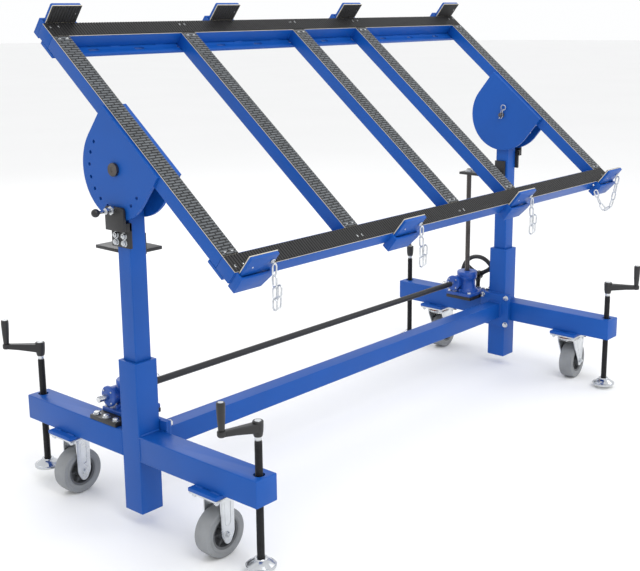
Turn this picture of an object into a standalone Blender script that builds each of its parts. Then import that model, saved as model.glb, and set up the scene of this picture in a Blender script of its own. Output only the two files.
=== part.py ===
"""A mobile tilting work table on two telescopic columns.

The frame sits on four castors and four levelling screws. Two screw jacks, joined by a shaft and
turned by one handwheel, raise the inner posts. The slotted table frame tilts about pins in the posts
and is held by spring plungers in its index plates. X runs from left to right, front is -Y, Z is up.
"""

import math

import bmesh
import bpy
from mathutils import Matrix

# Sizes are in metres and angles in degrees.
GAP = 0.0003                    # between pieces that touch
RUNNING_GAP = 0.0003            # round shafts and pins in their holes

# Columns, arms and cross beam
COLUMN_SPACING = 1.726          # centre to centre
COLUMN_WIDTH = 0.070
COLUMN_WALL = 0.005
COLUMN_BOTTOM = 0.038
COLUMN_TOP = 0.449
ARM_LENGTH = 0.424              # from the column's face to the arm's end
ARM_WIDTH = 0.070
ARM_TOP = 0.2545
BEAM_WIDTH = 0.054
BEAM_WALL = 0.004
BEAM_HEIGHT = 0.220             # its centre line
FLANGE_WIDTH = 0.122
FLANGE_THICKNESS = 0.008
FLANGE_BOLT_INSET = 0.010
BOLT_RADIUS = 0.005
BOLT_HEAD_RADIUS = 0.0095
BOLT_HEAD_HEIGHT = 0.0065
DRAIN_RADIUS = 0.004

# Castors
CASTOR_OFFSET = 0.290           # column centre to castor centre, along the arm
WHEEL_RADIUS = 0.064
WHEEL_WIDTH = 0.050
HUB_WIDTH = 0.054
AXLE_RADIUS = 0.006
CASTOR_TRAIL = 0.035
SWIVEL_TURN_RIGHT = 6.6         # the right castors' trail, turned from +X
ADAPTER_LENGTH = 0.098
ADAPTER_WIDTH = 0.110
ADAPTER_THICKNESS = 0.010
CASTOR_PLATE_LENGTH = 0.098
CASTOR_PLATE_WIDTH = 0.105
CASTOR_PLATE_THICKNESS = 0.006
FORK_PLATE = 0.004
FORK_WIDTH = 0.044
RACEWAY_HEIGHT = 0.008
CROWN_THICKNESS = 0.008
KINGPIN_RADIUS = 0.008
KINGPIN_HEAD_RADIUS = 0.013
KINGPIN_HEAD_HEIGHT = 0.006
PEDAL_LENGTH = 0.056
PEDAL_ROD_RADIUS = 0.004
PEDAL_ROD_TRAIL = 0.054         # kingpin to the pedal's rod

# Levelling screws
LEVELLER_INSET = 0.025          # from the arm's end
LEVELLER_RADIUS = 0.0095
LEVELLER_HOLE_CLEARANCE = 0.005
LEVELLER_HEIGHT = 0.373         # foot's underside to the crank hub's top
FOOT_RADIUS = 0.038
FOOT_HEIGHT = 0.024
CRANK_LENGTH = 0.095
CRANK_HUB_RADIUS = 0.0135
CRANK_HUB_HEIGHT = 0.040
CRANK_TIP_RADIUS = 0.011
GRIP_RADIUS = 0.0097
GRIP_LENGTH = 0.070
LEVELLERS = {                   # foot's height above the floor, crank's direction from +X
    "left_front": (0.018, 164.0),
    "left_rear": (0.035, 131.0),
    "right_front": (0.012, -66.0),
    "right_rear": (0.021, 40.5),
}

# Screw jacks and their drive
SCREW_INSET = 0.063             # column centre to screw axis, towards the middle
SCREW_OFFSET = 0.116            # behind the column centre
SCREW_RADIUS = 0.009
SCREW_BELOW_ARM = 0.0142        # its lower end, below the arm's top
SCREW_BELOW_PIVOT = 0.203       # its upper end, below the pivot
SCREW_NUT_RADIUS = 0.0135
JACK_PLATE_WIDTH = 0.108
JACK_PLATE_LENGTH = 0.155
JACK_PLATE_THICKNESS = 0.012
JACK_BASE_LENGTH = 0.115        # along X
JACK_BASE_WIDTH = 0.106
JACK_BASE_THICKNESS = 0.012
JACK_BODY_RADIUS = 0.030
JACK_CAP_RADIUS = 0.0375
JACK_HEIGHT = 0.088             # base plate's top to the cap's top
WORM_OFFSET = 0.026             # behind the screw axis
WORM_HEIGHT = 0.044             # above the base plate
WORM_RADIUS = 0.008
WORM_BOSS_RADIUS = 0.029
WORM_BOSS_REACH = 0.058
WORM_STUB = 0.031               # beyond the boss
GEAR_THICKNESS = 0.016
SHAFT_RADIUS = 0.010
SHAFT_WALL = 0.0017
SHAFT_END_GAP = 0.014           # boss to connecting shaft
HANDWHEEL_RADIUS = 0.072        # to the middle of the rim
HANDWHEEL_RIM = 0.008
HANDWHEEL_REACH = 0.052         # column centre to the wheel's middle plane
HANDWHEEL_SPOKES = 3

# Inner posts and what they carry
POST_WIDTH = 0.050
POST_WALL = 0.004
POST_BOTTOM = 0.270
POST_ABOVE_PIVOT = 0.045
PIVOT_HEIGHT = 0.9433
PIVOT_RADIUS = 0.010
PIVOT_HEAD_RADIUS = 0.017
LIFT_PLATE_THICKNESS = 0.009
LIFT_PLATE_WIDTH = 0.100
LIFT_PLATE_BACK = 0.140
LIFT_PLATE_FRONT = -0.005
LIFT_TAB_HEIGHT = 0.054
LIFT_TAB_THICKNESS = 0.008
LIFT_PLATE_BELOW_SCREW_END = 0.009
BRACKET_WIDTH = 0.072
BRACKET_FOOT_HEIGHT = 0.065
BRACKET_PLATE = 0.008
BRACKET_OVERLAP = 0.021
BRACKET_TOP_ABOVE_PLUNGER = 0.009
BRACKET_FOOT_GAP = 0.004        # below the index plate's rim
PLUNGER_RADIUS = 0.004
PLUNGER_SLEEVE_RADIUS = 0.007
PLUNGER_SLEEVE_LENGTH = 0.022
PLUNGER_KNOB_RADIUS = 0.0105
PLUNGER_LENGTH = 0.060          # tip to the knob's centre
PLUNGER_ANGLE = -87.35          # round the pivot, from +Y
PLUNGER_CLEARANCE = 0.0008      # tip to the index plate when drawn out

# Table frame, measured in its own plane from the front edge and from the pads' top
TILT = 38.65
TABLE_OVERHANG = 0.008          # side rail's outer face beyond the post's
TABLE_DEPTH = 0.870
PIVOT_FROM_EDGE = 0.440
PIVOT_BELOW_PADS = 0.102
RAIL_WIDTH = 0.050
RAIL_HEIGHT = 0.038
RAIL_WALL = 0.003
PAD_THICKNESS = 0.004
BAR_WIDTH = 0.050
LEFT_BAR_INSET = 0.452          # its centre, from the table's left end
MIDDLE_BAR_OFFSET = 0.012       # its centre, from the table's middle
RIGHT_BAR_INSET = 0.580         # its centre, from the table's right end
STRIP_OVERHANG = 0.028
STRIP_WIDTH = 0.058
STRIP_THICKNESS = 0.008
STRIP_SLOT_PITCH = 0.152
STRIP_SLOT_LENGTH = 0.034
STRIP_SLOT_WIDTH = 0.009
INDEX_PLATE_RADIUS = 0.127
INDEX_PLATE_THICKNESS = 0.008
INDEX_PLATE_BELOW_PADS = 0.008
INDEX_HOLE_CIRCLE = 0.1003
INDEX_HOLE_RADIUS = 0.0048
INDEX_STEP = 18.0
INDEX_HOLES = 11
INNER_PLATE_CLEARANCE = 0.002   # to the post's inner face

# Edge stops
STOP_INSETS = {                 # their centres, from the table's end on the same side
    "left_outer": 0.056,
    "left_inner": 0.620,
    "right_inner": 0.610,
    "right_outer": 0.048,
}
STOP_WIDTH = 0.091
STOP_THICKNESS = 0.0127
STOP_ABOVE_PADS = 0.052
STOP_BELOW_PADS = 0.046
POCKET_WALL = 0.006
POCKET_CLEARANCE = 0.0005
POCKET_SIDE_GAP = 0.004
POCKET_COVER = 0.007
POCKET_TOP = 0.003              # below the pads' top
POCKET_BOTTOM = 0.050
POCKET_CUT_WIDTH = 0.016         # of the corner cut off each cover
POCKET_CUT_HEIGHT = 0.032

OVERLAP = 0.0005                # how far joined shapes run into each other
AXIS_TURNS = {
    "X": Matrix.Rotation(math.pi / 2, 4, "Y"),
    "Y": Matrix.Rotation(-math.pi / 2, 4, "X"),
    "Z": Matrix.Identity(4),
}
SIDES = {"left": -1, "right": 1}
ENDS = {"front": -1, "rear": 1}

# Levels and planes that follow from the sizes above
COLUMN_X = COLUMN_SPACING / 2
COLUMN_HALF = COLUMN_WIDTH / 2
ARM_END = COLUMN_HALF + ARM_LENGTH
ARM_BOTTOM = ARM_TOP - ARM_WIDTH
LEVELLER_OFFSET = ARM_END - LEVELLER_INSET
ADAPTER_BOTTOM = ARM_BOTTOM - ADAPTER_THICKNESS
CASTOR_PLATE_BOTTOM = ADAPTER_BOTTOM - CASTOR_PLATE_THICKNESS
CROWN_TOP = CASTOR_PLATE_BOTTOM - RACEWAY_HEIGHT
CROWN_BOTTOM = CROWN_TOP - CROWN_THICKNESS
KINGPIN_LOW = CROWN_BOTTOM - GAP - KINGPIN_HEAD_HEIGHT
PEDAL_PIVOT = (PEDAL_ROD_TRAIL, 0.0, CROWN_BOTTOM - 0.006)
SCREW_X = COLUMN_X - SCREW_INSET
JACK_PLATE_TOP = ARM_TOP + GAP + JACK_PLATE_THICKNESS
JACK_TOP = JACK_PLATE_TOP + JACK_HEIGHT
GEAR_RADIUS = WORM_OFFSET - WORM_RADIUS - 0.0005
SHAFT_Y = SCREW_OFFSET + WORM_OFFSET
SHAFT_Z = JACK_PLATE_TOP + WORM_HEIGHT
SHAFT_END = SCREW_X - WORM_BOSS_REACH - SHAFT_END_GAP
POST_HALF = POST_WIDTH / 2
POST_INNER = COLUMN_X - POST_HALF
POST_OUTER = COLUMN_X + POST_HALF
TABLE_HALF = POST_OUTER + TABLE_OVERHANG
RAIL_INNER = TABLE_HALF - RAIL_WIDTH
OUTER_PLATE_FACE = TABLE_HALF + INDEX_PLATE_THICKNESS
INNER_PLATE_BACK = POST_INNER - INNER_PLATE_CLEARANCE
INNER_PLATE_FACE = INNER_PLATE_BACK - INDEX_PLATE_THICKNESS
BAR_CENTRES = (LEFT_BAR_INSET - TABLE_HALF, MIDDLE_BAR_OFFSET, TABLE_HALF - RIGHT_BAR_INSET)
STOP_CENTRES = {place: SIDES[place.split("_")[0]] * (TABLE_HALF - inset)
                for place, inset in STOP_INSETS.items()}
SCREW_END = PIVOT_HEIGHT - SCREW_BELOW_PIVOT
LIFT_PLATE_TOP = SCREW_END - LIFT_PLATE_BELOW_SCREW_END
PLUNGER_Y = INDEX_HOLE_CIRCLE * math.cos(math.radians(PLUNGER_ANGLE))
PLUNGER_Z = PIVOT_HEIGHT + INDEX_HOLE_CIRCLE * math.sin(math.radians(PLUNGER_ANGLE))

for old in list(bpy.data.objects):
    bpy.data.objects.remove(old)


def finish(name, colour, roughness, metallic=0.0):
    """A painted, plated or moulded surface."""
    material = bpy.data.materials.new(name)
    material.use_nodes = True
    shader = material.node_tree.nodes["Principled BSDF"]
    shader.inputs["Base Color"].default_value = (*colour, 1.0)
    shader.inputs["Roughness"].default_value = roughness
    shader.inputs["Metallic"].default_value = metallic
    return material


BLUE = finish("blue_paint", (0.010, 0.075, 0.42), 0.35)
BLACK = finish("black_paint", (0.012, 0.012, 0.014), 0.45)
ZINC = finish("zinc_plate", (0.55, 0.56, 0.56), 0.35, 1.0)
STEEL = finish("bright_steel", (0.60, 0.60, 0.60), 0.25, 1.0)
DARK_STEEL = finish("oiled_steel", (0.09, 0.09, 0.09), 0.40, 1.0)
BRONZE = finish("bronze", (0.45, 0.28, 0.12), 0.35, 1.0)
TYRE = finish("grey_rubber", (0.20, 0.20, 0.21), 0.60)
PAD = finish("black_rubber", (0.015, 0.015, 0.016), 0.75)
PLASTIC = finish("black_plastic", (0.010, 0.010, 0.011), 0.30)


# --- Shapes. Each call returns a closed solid in the frame of the assembly that it belongs to. ---

def shape(bm):
    mesh = bpy.data.meshes.new("shape")
    bm.to_mesh(mesh)
    bm.free()
    solid = bpy.data.objects.new("shape", mesh)
    bpy.context.scene.collection.objects.link(solid)
    return solid


def block(x, y, z):
    """A box between two limits on each axis, given in either order."""
    bm = bmesh.new()
    bmesh.ops.create_cube(bm, size=1.0)
    for vert in bm.verts:
        limits = (sorted(x), sorted(y), sorted(z))
        vert.co = [(low + high) / 2 + c * (high - low) for c, (low, high) in zip(vert.co, limits)]
    return shape(bm)


def turned(profile, axis="Z", at=(0.0, 0.0, 0.0), segments=16):
    """A lathe-turned solid from (radius, height) points; with no point on the axis it is a ring."""
    bm = bmesh.new()
    verts = [bm.verts.new((radius, 0.0, height)) for radius, height in profile]
    edges = [bm.edges.new(pair) for pair in zip(verts, verts[1:])]
    if min(radius for radius, _ in profile) > 0:
        edges.append(bm.edges.new((verts[-1], verts[0])))
    bmesh.ops.spin(bm, geom=verts + edges, axis=(0, 0, 1), cent=(0, 0, 0), dvec=(0, 0, 0),
                   angle=math.tau, steps=segments, use_merge=True)
    bmesh.ops.remove_doubles(bm, verts=bm.verts, dist=1e-6)
    bmesh.ops.recalc_face_normals(bm, faces=bm.faces)
    bm.transform(Matrix.Translation(at) @ AXIS_TURNS[axis])
    return shape(bm)


def rod(radius, start, end, axis="Z", at=(0.0, 0.0, 0.0), segments=16):
    return turned([(0, start), (radius, start), (radius, end), (0, end)], axis, at, segments)


def hex_head(start, height, axis, at, radius=BOLT_HEAD_RADIUS):
    return rod(radius, start, start + height, axis, at, 6)


def plate(outline, thickness, axis="Y"):
    """A flat plate: an outline in the plane across the axis, extruded between two limits."""
    low, high = sorted(thickness)
    bm = bmesh.new()
    place = {
        "X": lambda a, b: (low, a, b),
        "Y": lambda a, b: (a, low, b),
        "Z": lambda a, b: (a, b, low),
    }[axis]
    face = bm.faces.new([bm.verts.new(place(a, b)) for a, b in outline])
    raised = bmesh.ops.extrude_face_region(bm, geom=[face])["geom"]
    step = [0.0, 0.0, 0.0]
    step["XYZ".index(axis)] = high - low
    bmesh.ops.translate(bm, vec=step, verts=[item for item in raised if isinstance(item, bmesh.types.BMVert)])
    bmesh.ops.recalc_face_normals(bm, faces=bm.faces)
    return shape(bm)


# --- Sub-parts and the empties that place them ---

def frame_at(name, location, parent=None, turn=(0.0, 0.0, 0.0)):
    """An empty on a joint's axis or at an assembly's datum; turn is in degrees."""
    empty = bpy.data.objects.new(name, None)
    bpy.context.scene.collection.objects.link(empty)
    empty.parent = parent
    empty.location = location
    empty.rotation_euler = [math.radians(angle) for angle in turn]
    return empty


def part(name, material, parent, adds, cuts=(), origin=(0.0, 0.0, 0.0)):
    """Joins the solids in adds, cuts those in cuts away and leaves one named sub-part."""
    body = adds[0]
    for operation, tools in (("UNION", adds[1:]), ("DIFFERENCE", cuts)):
        for tool in tools:
            modifier = body.modifiers.new(operation.title(), "BOOLEAN")
            modifier.operation = operation
            modifier.object = tool
    depsgraph = bpy.context.evaluated_depsgraph_get()
    mesh = bpy.data.meshes.new_from_object(body.evaluated_get(depsgraph))
    for tool in [*adds, *cuts]:
        bpy.data.objects.remove(tool)
    mesh.name = name
    mesh.transform(Matrix.Translation([-value for value in origin]))
    mesh.materials.clear()
    mesh.materials.append(material)
    mesh.shade_smooth()
    mesh.set_sharp_from_angle(angle=math.radians(35))
    piece = bpy.data.objects.new(name, mesh)
    bpy.context.scene.collection.objects.link(piece)
    piece.parent = parent
    piece.location = origin
    return piece


# The stand's datum is under the middle of its footprint, whose ends are the front and rear cranks.
def crank_reach(side_end):
    return abs(math.sin(math.radians(LEVELLERS[side_end][1]))) * CRANK_LENGTH


STAND_Y = (crank_reach("right_front") - crank_reach("left_rear")) / 2
stand = frame_at("stand", (0, STAND_Y, 0))


# --- Base: two column and arm weldments, joined by a bolted cross beam ---

def bolt_places():
    reach = FLANGE_WIDTH / 2 - FLANGE_BOLT_INSET
    return [(y, BEAM_HEIGHT + z) for y in (-reach, reach) for z in (-reach, reach)]


def leg(side_name):
    side = SIDES[side_name]
    x = side * COLUMN_X
    across = (x - COLUMN_HALF, x + COLUMN_HALF)
    inside = (x - COLUMN_HALF + COLUMN_WALL, x + COLUMN_HALF - COLUMN_WALL)
    arm_inside = (x - ARM_WIDTH / 2 + COLUMN_WALL, x + ARM_WIDTH / 2 - COLUMN_WALL)
    column_void = COLUMN_HALF - COLUMN_WALL
    adds = [block(across, (-COLUMN_HALF, COLUMN_HALF), (COLUMN_BOTTOM, COLUMN_TOP))]
    cuts = [block(inside, (-column_void, column_void), (COLUMN_BOTTOM + COLUMN_WALL, COLUMN_TOP + 0.01))]
    for end in ENDS.values():
        castor_y = end * CASTOR_OFFSET
        adds.append(block((x - ARM_WIDTH / 2, x + ARM_WIDTH / 2), (end * column_void, end * ARM_END),
                          (ARM_BOTTOM, ARM_TOP)))
        adds.append(block((x - ADAPTER_WIDTH / 2, x + ADAPTER_WIDTH / 2),
                          (castor_y - ADAPTER_LENGTH / 2, castor_y + ADAPTER_LENGTH / 2),
                          (ADAPTER_BOTTOM, ARM_BOTTOM + OVERLAP)))
        cuts.append(block(arm_inside, (end * COLUMN_HALF, end * (ARM_END - COLUMN_WALL)),
                          (ARM_BOTTOM + COLUMN_WALL, ARM_TOP - COLUMN_WALL)))
        cuts.append(rod(LEVELLER_RADIUS + LEVELLER_HOLE_CLEARANCE, ARM_BOTTOM - 0.01, ARM_TOP + 0.01,
                        at=(x, end * LEVELLER_OFFSET, 0), segments=12))
        if side_name == "right":
            adds += swivel_mount(x, castor_y)
    face = COLUMN_X - COLUMN_HALF
    adds.append(block((side * (face + OVERLAP), side * (face - FLANGE_THICKNESS)),
                      (-FLANGE_WIDTH / 2, FLANGE_WIDTH / 2),
                      (BEAM_HEIGHT - FLANGE_WIDTH / 2, BEAM_HEIGHT + FLANGE_WIDTH / 2)))
    bore = sorted((side * (face - FLANGE_THICKNESS - 0.005), side * (face - OVERLAP)))
    cuts += [rod(BOLT_RADIUS + RUNNING_GAP, *bore, "X", (0, y, z), 8) for y, z in bolt_places()]
    part(f"leg_{side_name}", BLUE, stand, adds, cuts)


def swivel_mount(x, y):
    """The swivel castor's top plate with its raceway and kingpin, bolted under the adapter plate."""
    return [
        block((x - CASTOR_PLATE_WIDTH / 2, x + CASTOR_PLATE_WIDTH / 2),
              (y - CASTOR_PLATE_LENGTH / 2, y + CASTOR_PLATE_LENGTH / 2),
              (CASTOR_PLATE_BOTTOM, ADAPTER_BOTTOM + OVERLAP)),
        turned([(0, KINGPIN_LOW), (KINGPIN_HEAD_RADIUS, KINGPIN_LOW),
                (KINGPIN_HEAD_RADIUS, CROWN_BOTTOM - GAP), (KINGPIN_RADIUS, CROWN_BOTTOM - GAP),
                (KINGPIN_RADIUS, CROWN_TOP + GAP), (0.032, CROWN_TOP + GAP),
                (0.032, CASTOR_PLATE_BOTTOM + OVERLAP), (0, CASTOR_PLATE_BOTTOM + OVERLAP)],
               at=(x, y, 0)),
    ]


def cross_beam():
    end = COLUMN_X - COLUMN_HALF - FLANGE_THICKNESS - GAP
    half = BEAM_WIDTH / 2
    void = half - BEAM_WALL
    adds = [block((-end + OVERLAP, end - OVERLAP), (-half, half), (BEAM_HEIGHT - half, BEAM_HEIGHT + half))]
    for side in SIDES.values():
        plate_face = side * (end - FLANGE_THICKNESS)
        adds.append(block((side * end, plate_face), (-FLANGE_WIDTH / 2, FLANGE_WIDTH / 2),
                          (BEAM_HEIGHT - FLANGE_WIDTH / 2, BEAM_HEIGHT + FLANGE_WIDTH / 2)))
        shank = sorted((plate_face, side * (end + GAP + FLANGE_THICKNESS - 2 * OVERLAP)))
        for y, z in bolt_places():
            adds.append(rod(BOLT_RADIUS, *shank, "X", (0, y, z), 8))
            head = plate_face + (OVERLAP if side > 0 else -OVERLAP)
            low = head - BOLT_HEAD_HEIGHT if side > 0 else head
            adds.append(hex_head(low, BOLT_HEAD_HEIGHT, "X", (0, y, z)))
    cuts = [
        block((-end + FLANGE_THICKNESS, end - FLANGE_THICKNESS), (-void, void),
              (BEAM_HEIGHT - void, BEAM_HEIGHT + void)),
        rod(DRAIN_RADIUS, BEAM_HEIGHT - half - 0.01, BEAM_HEIGHT, segments=12),
    ]
    part("cross_beam", BLUE, stand, adds, cuts)


for side_name in SIDES:
    leg(side_name)
cross_beam()


# --- Castors: the left pair rigid, the right pair swivelling with a brake pedal ---

def wheel(name, frame, trail):
    """A wheel turned as a many-sided ring that stands on one of its flats."""
    sides = 24
    tread = WHEEL_RADIUS / math.cos(math.pi / sides)
    rim, web, hub = 0.046, 0.008, 0.017
    half, hub_half = WHEEL_WIDTH / 2, HUB_WIDTH / 2
    bore = AXLE_RADIUS + RUNNING_GAP
    outer_half = [(bore, hub_half), (hub, hub_half), (hub + 0.002, web), (rim - 0.002, web), (rim, half),
                  (tread - 0.005, half), (tread, half * 0.55)]
    profile = outer_half + [(radius, -height) for radius, height in reversed(outer_half)]
    body = turned(profile, "Y", segments=sides)
    body.data.transform(Matrix.Rotation(math.pi / sides, 4, "Y"))
    body.data.transform(Matrix.Translation((trail, 0, WHEEL_RADIUS)))
    part(name, TYRE, frame, [body], origin=(trail, 0, WHEEL_RADIUS))


def fork_legs(outline, trail):
    inner = HUB_WIDTH / 2 + GAP * 4
    nut_low = inner + FORK_PLATE - OVERLAP
    pieces = [plate(outline, (side * inner, side * (inner + FORK_PLATE))) for side in (-1, 1)]
    pieces.append(rod(AXLE_RADIUS, -nut_low - 0.001, nut_low + 0.001, "Y", (trail, 0, WHEEL_RADIUS), 12))
    pieces.append(hex_head(nut_low, BOLT_HEAD_HEIGHT, "Y", (trail, 0, WHEEL_RADIUS)))
    pieces.append(hex_head(-nut_low - BOLT_HEAD_HEIGHT, BOLT_HEAD_HEIGHT, "Y", (trail, 0, WHEEL_RADIUS)))
    return pieces


def rigid_castor(end_name, frame):
    half = FORK_WIDTH / 2
    top = CASTOR_PLATE_BOTTOM + OVERLAP
    outline = [(-half, top), (-half, WHEEL_RADIUS + 0.004), (-0.005, WHEEL_RADIUS - 0.024),
               (0.005, WHEEL_RADIUS - 0.024), (half, WHEEL_RADIUS + 0.004), (half, top)]
    top_plate = block((-CASTOR_PLATE_WIDTH / 2, CASTOR_PLATE_WIDTH / 2),
                      (-CASTOR_PLATE_LENGTH / 2, CASTOR_PLATE_LENGTH / 2),
                      (CASTOR_PLATE_BOTTOM, ADAPTER_BOTTOM - GAP))
    part(f"rigid_fork_{end_name}", ZINC, frame, [top_plate, *fork_legs(outline, 0.0)])
    wheel(f"wheel_left_{end_name}", frame, 0.0)


def swivel_castor(end_name, frame):
    low = WHEEL_RADIUS - 0.020
    crown_half = HUB_WIDTH / 2 + GAP * 4 + FORK_PLATE
    outline = [(-0.030, CROWN_TOP - OVERLAP), (0.020, low + 0.012), (CASTOR_TRAIL, low),
               (CASTOR_TRAIL + 0.016, low + 0.014), (0.062, PEDAL_PIVOT[2] - 0.010),
               (0.062, CROWN_TOP - OVERLAP)]
    crown = block((-0.036, 0.062), (-crown_half, crown_half), (CROWN_BOTTOM, CROWN_TOP))
    cuts = [
        rod(KINGPIN_RADIUS + RUNNING_GAP, CROWN_TOP - 0.02, CROWN_TOP + 0.01, segments=20),
        rod(PEDAL_ROD_RADIUS + RUNNING_GAP, -0.05, 0.05, "Y", PEDAL_PIVOT, 12),
    ]
    part(f"swivel_fork_{end_name}", ZINC, frame, [crown, *fork_legs(outline, CASTOR_TRAIL)], cuts)
    wheel(f"wheel_right_{end_name}", frame, CASTOR_TRAIL)
    half = HUB_WIDTH / 2 - 0.003
    pivot_x, _, pivot_z = PEDAL_PIVOT
    tread = plate([(pivot_x - 0.002, pivot_z + 0.003), (pivot_x + PEDAL_LENGTH * 0.6, pivot_z + 0.003),
                   (pivot_x + PEDAL_LENGTH, pivot_z - 0.010),
                   (pivot_x + PEDAL_LENGTH - 0.004, pivot_z - 0.015),
                   (pivot_x + PEDAL_LENGTH * 0.55, pivot_z - 0.0025),
                   (pivot_x - 0.002, pivot_z - 0.0025)], (-half, half))
    hinge_rod = rod(PEDAL_ROD_RADIUS, -crown_half - 0.001, crown_half + 0.001, "Y", PEDAL_PIVOT, 12)
    part(f"brake_pedal_{end_name}", PLASTIC, frame, [tread, hinge_rod], origin=PEDAL_PIVOT)


for end_name, end in ENDS.items():
    castor_y = end * CASTOR_OFFSET
    rigid_castor(end_name, frame_at(f"castor_left_{end_name}", (-COLUMN_X, castor_y, 0), stand))
    swivel_castor(end_name, frame_at(f"castor_right_{end_name}", (COLUMN_X, castor_y, 0), stand,
                                     (0, 0, SWIVEL_TURN_RIGHT)))


# --- Levelling screws: a foot, a screw with its crank, and a revolving grip ---

def leveller(name, height, turn, at):
    frame = frame_at(f"leveller_{name}", (*at, height), stand, (0, 0, turn))
    socket = LEVELLER_RADIUS + 0.001
    socket_floor = FOOT_HEIGHT * 0.45
    part(f"foot_{name}", ZINC, frame, [turned(
        [(0, 0), (FOOT_RADIUS - 0.002, 0), (FOOT_RADIUS, 0.003), (FOOT_RADIUS, 0.007),
         (0.018, FOOT_HEIGHT - 0.003), (socket + 0.003, FOOT_HEIGHT), (socket, FOOT_HEIGHT),
         (socket, socket_floor), (0, socket_floor)])])
    hub_low = LEVELLER_HEIGHT - CRANK_HUB_HEIGHT
    screw = turned([(0, socket_floor + GAP), (LEVELLER_RADIUS, socket_floor + GAP),
                    (LEVELLER_RADIUS, hub_low), (CRANK_HUB_RADIUS, hub_low),
                    (CRANK_HUB_RADIUS, hub_low + 0.018), (CRANK_HUB_RADIUS - 0.002, LEVELLER_HEIGHT),
                    (0, LEVELLER_HEIGHT)])
    arm_top = LEVELLER_HEIGHT - 0.006
    arm_half = 0.009
    arm = plate([(0, arm_top - 0.023), (CRANK_LENGTH, arm_top - 0.014), (CRANK_LENGTH, arm_top),
                 (0, arm_top)], (-arm_half, arm_half))
    tip = rod(CRANK_TIP_RADIUS, arm_top - 0.014, arm_top, at=(CRANK_LENGTH, 0, 0), segments=16)
    grip_low = arm_top + GAP
    pin_radius = 0.003
    pin = rod(pin_radius, arm_top - 0.002, grip_low + GRIP_LENGTH * 0.8, at=(CRANK_LENGTH, 0, 0),
              segments=10)
    part(f"crank_{name}", BLACK, frame, [screw, arm, tip, pin])
    bore = pin_radius + RUNNING_GAP
    bore_end = grip_low + GRIP_LENGTH * 0.8 + GAP
    grip_top = grip_low + GRIP_LENGTH
    grip = turned([(0, bore_end), (bore, bore_end), (bore, grip_low), (GRIP_RADIUS - 0.002, grip_low),
                   (GRIP_RADIUS, grip_low + 0.010), (GRIP_RADIUS, grip_top - 0.004),
                   (GRIP_RADIUS - 0.003, grip_top), (0, grip_top)], at=(CRANK_LENGTH, 0, 0), segments=16)
    part(f"grip_{name}", PLASTIC, frame, [grip], origin=(CRANK_LENGTH, 0, grip_low))


for side_name, side in SIDES.items():
    for end_name, end in ENDS.items():
        name = f"{side_name}_{end_name}"
        leveller(name, *LEVELLERS[name], (side * COLUMN_X, end * LEVELLER_OFFSET))


# --- Screw jacks: housing on its plate, worm wheel and screw; one worm shaft in line through both ---

def screw_jack(side_name):
    side = SIDES[side_name]
    frame = frame_at(f"jack_{side_name}", (side * SCREW_X, SCREW_OFFSET, 0), stand)
    low = ARM_TOP + GAP
    inner = -side * JACK_BASE_LENGTH / 2
    outer = inner + side * JACK_PLATE_LENGTH
    half_length, half_width = JACK_BASE_LENGTH / 2, JACK_BASE_WIDTH / 2
    base_top = JACK_PLATE_TOP + JACK_BASE_THICKNESS
    worm_at = (0, WORM_OFFSET, SHAFT_Z)
    gear_clear = GEAR_RADIUS + 0.003
    gear_room = (SHAFT_Z - GEAR_THICKNESS / 2 - 0.010, SHAFT_Z + GEAR_THICKNESS / 2 + 0.010)
    adds = [
        block((inner, outer), (-JACK_PLATE_WIDTH / 2, JACK_PLATE_WIDTH / 2), (low, JACK_PLATE_TOP)),
        block((-half_length, half_length), (-half_width, half_width),
              (JACK_PLATE_TOP - OVERLAP, base_top)),
        turned([(0, base_top - OVERLAP), (JACK_BODY_RADIUS + 0.005, base_top - OVERLAP),
                (JACK_BODY_RADIUS, base_top + 0.006), (JACK_BODY_RADIUS, JACK_TOP - 0.034),
                (JACK_CAP_RADIUS, JACK_TOP - 0.022), (JACK_CAP_RADIUS, JACK_TOP - 0.003),
                (JACK_CAP_RADIUS - 0.003, JACK_TOP), (0, JACK_TOP)]),
        rod(WORM_BOSS_RADIUS, -WORM_BOSS_REACH, WORM_BOSS_REACH, "X", worm_at),
    ]
    for y in (-0.034, 0.014, 0.040):
        adds.append(hex_head(JACK_PLATE_TOP - OVERLAP, BOLT_HEAD_HEIGHT, "Z", (outer - side * 0.012, y, 0)))
    cuts = [
        rod(SCREW_RADIUS + 0.0015, low - 0.01, JACK_TOP + 0.01),
        rod(gear_clear, *gear_room),
        rod(WORM_RADIUS + 0.002, -0.030, 0.030, "X", worm_at, 12),
        rod(WORM_RADIUS + RUNNING_GAP, -WORM_BOSS_REACH - 0.01, WORM_BOSS_REACH + 0.01, "X", worm_at, 12),
    ]
    part(f"screw_jack_{side_name}", BLUE, frame, adds, cuts)
    bore = SCREW_RADIUS + RUNNING_GAP
    low, high = SHAFT_Z - GEAR_THICKNESS / 2, SHAFT_Z + GEAR_THICKNESS / 2
    gear = turned([(bore, low - 0.008), (bore + 0.004, low - 0.008), (bore + 0.004, low), (GEAR_RADIUS, low),
                   (GEAR_RADIUS, high), (bore + 0.004, high), (bore + 0.004, high + 0.008),
                   (bore, high + 0.008)])
    part(f"worm_wheel_{side_name}", BRONZE, frame, [gear])


drive = frame_at("drive", (0, SHAFT_Y, SHAFT_Z), stand)


def worm_shaft(start, end, screw_x):
    """The input shaft with its worm, between two limits along X."""
    neck = WORM_RADIUS - 0.0015
    return turned([(0, start), (WORM_RADIUS, start), (WORM_RADIUS, screw_x - 0.024), (neck, screw_x - 0.022),
                   (neck, screw_x - 0.018), (WORM_RADIUS, screw_x - 0.016), (WORM_RADIUS, end), (0, end)],
                  "X", segments=12)


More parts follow.
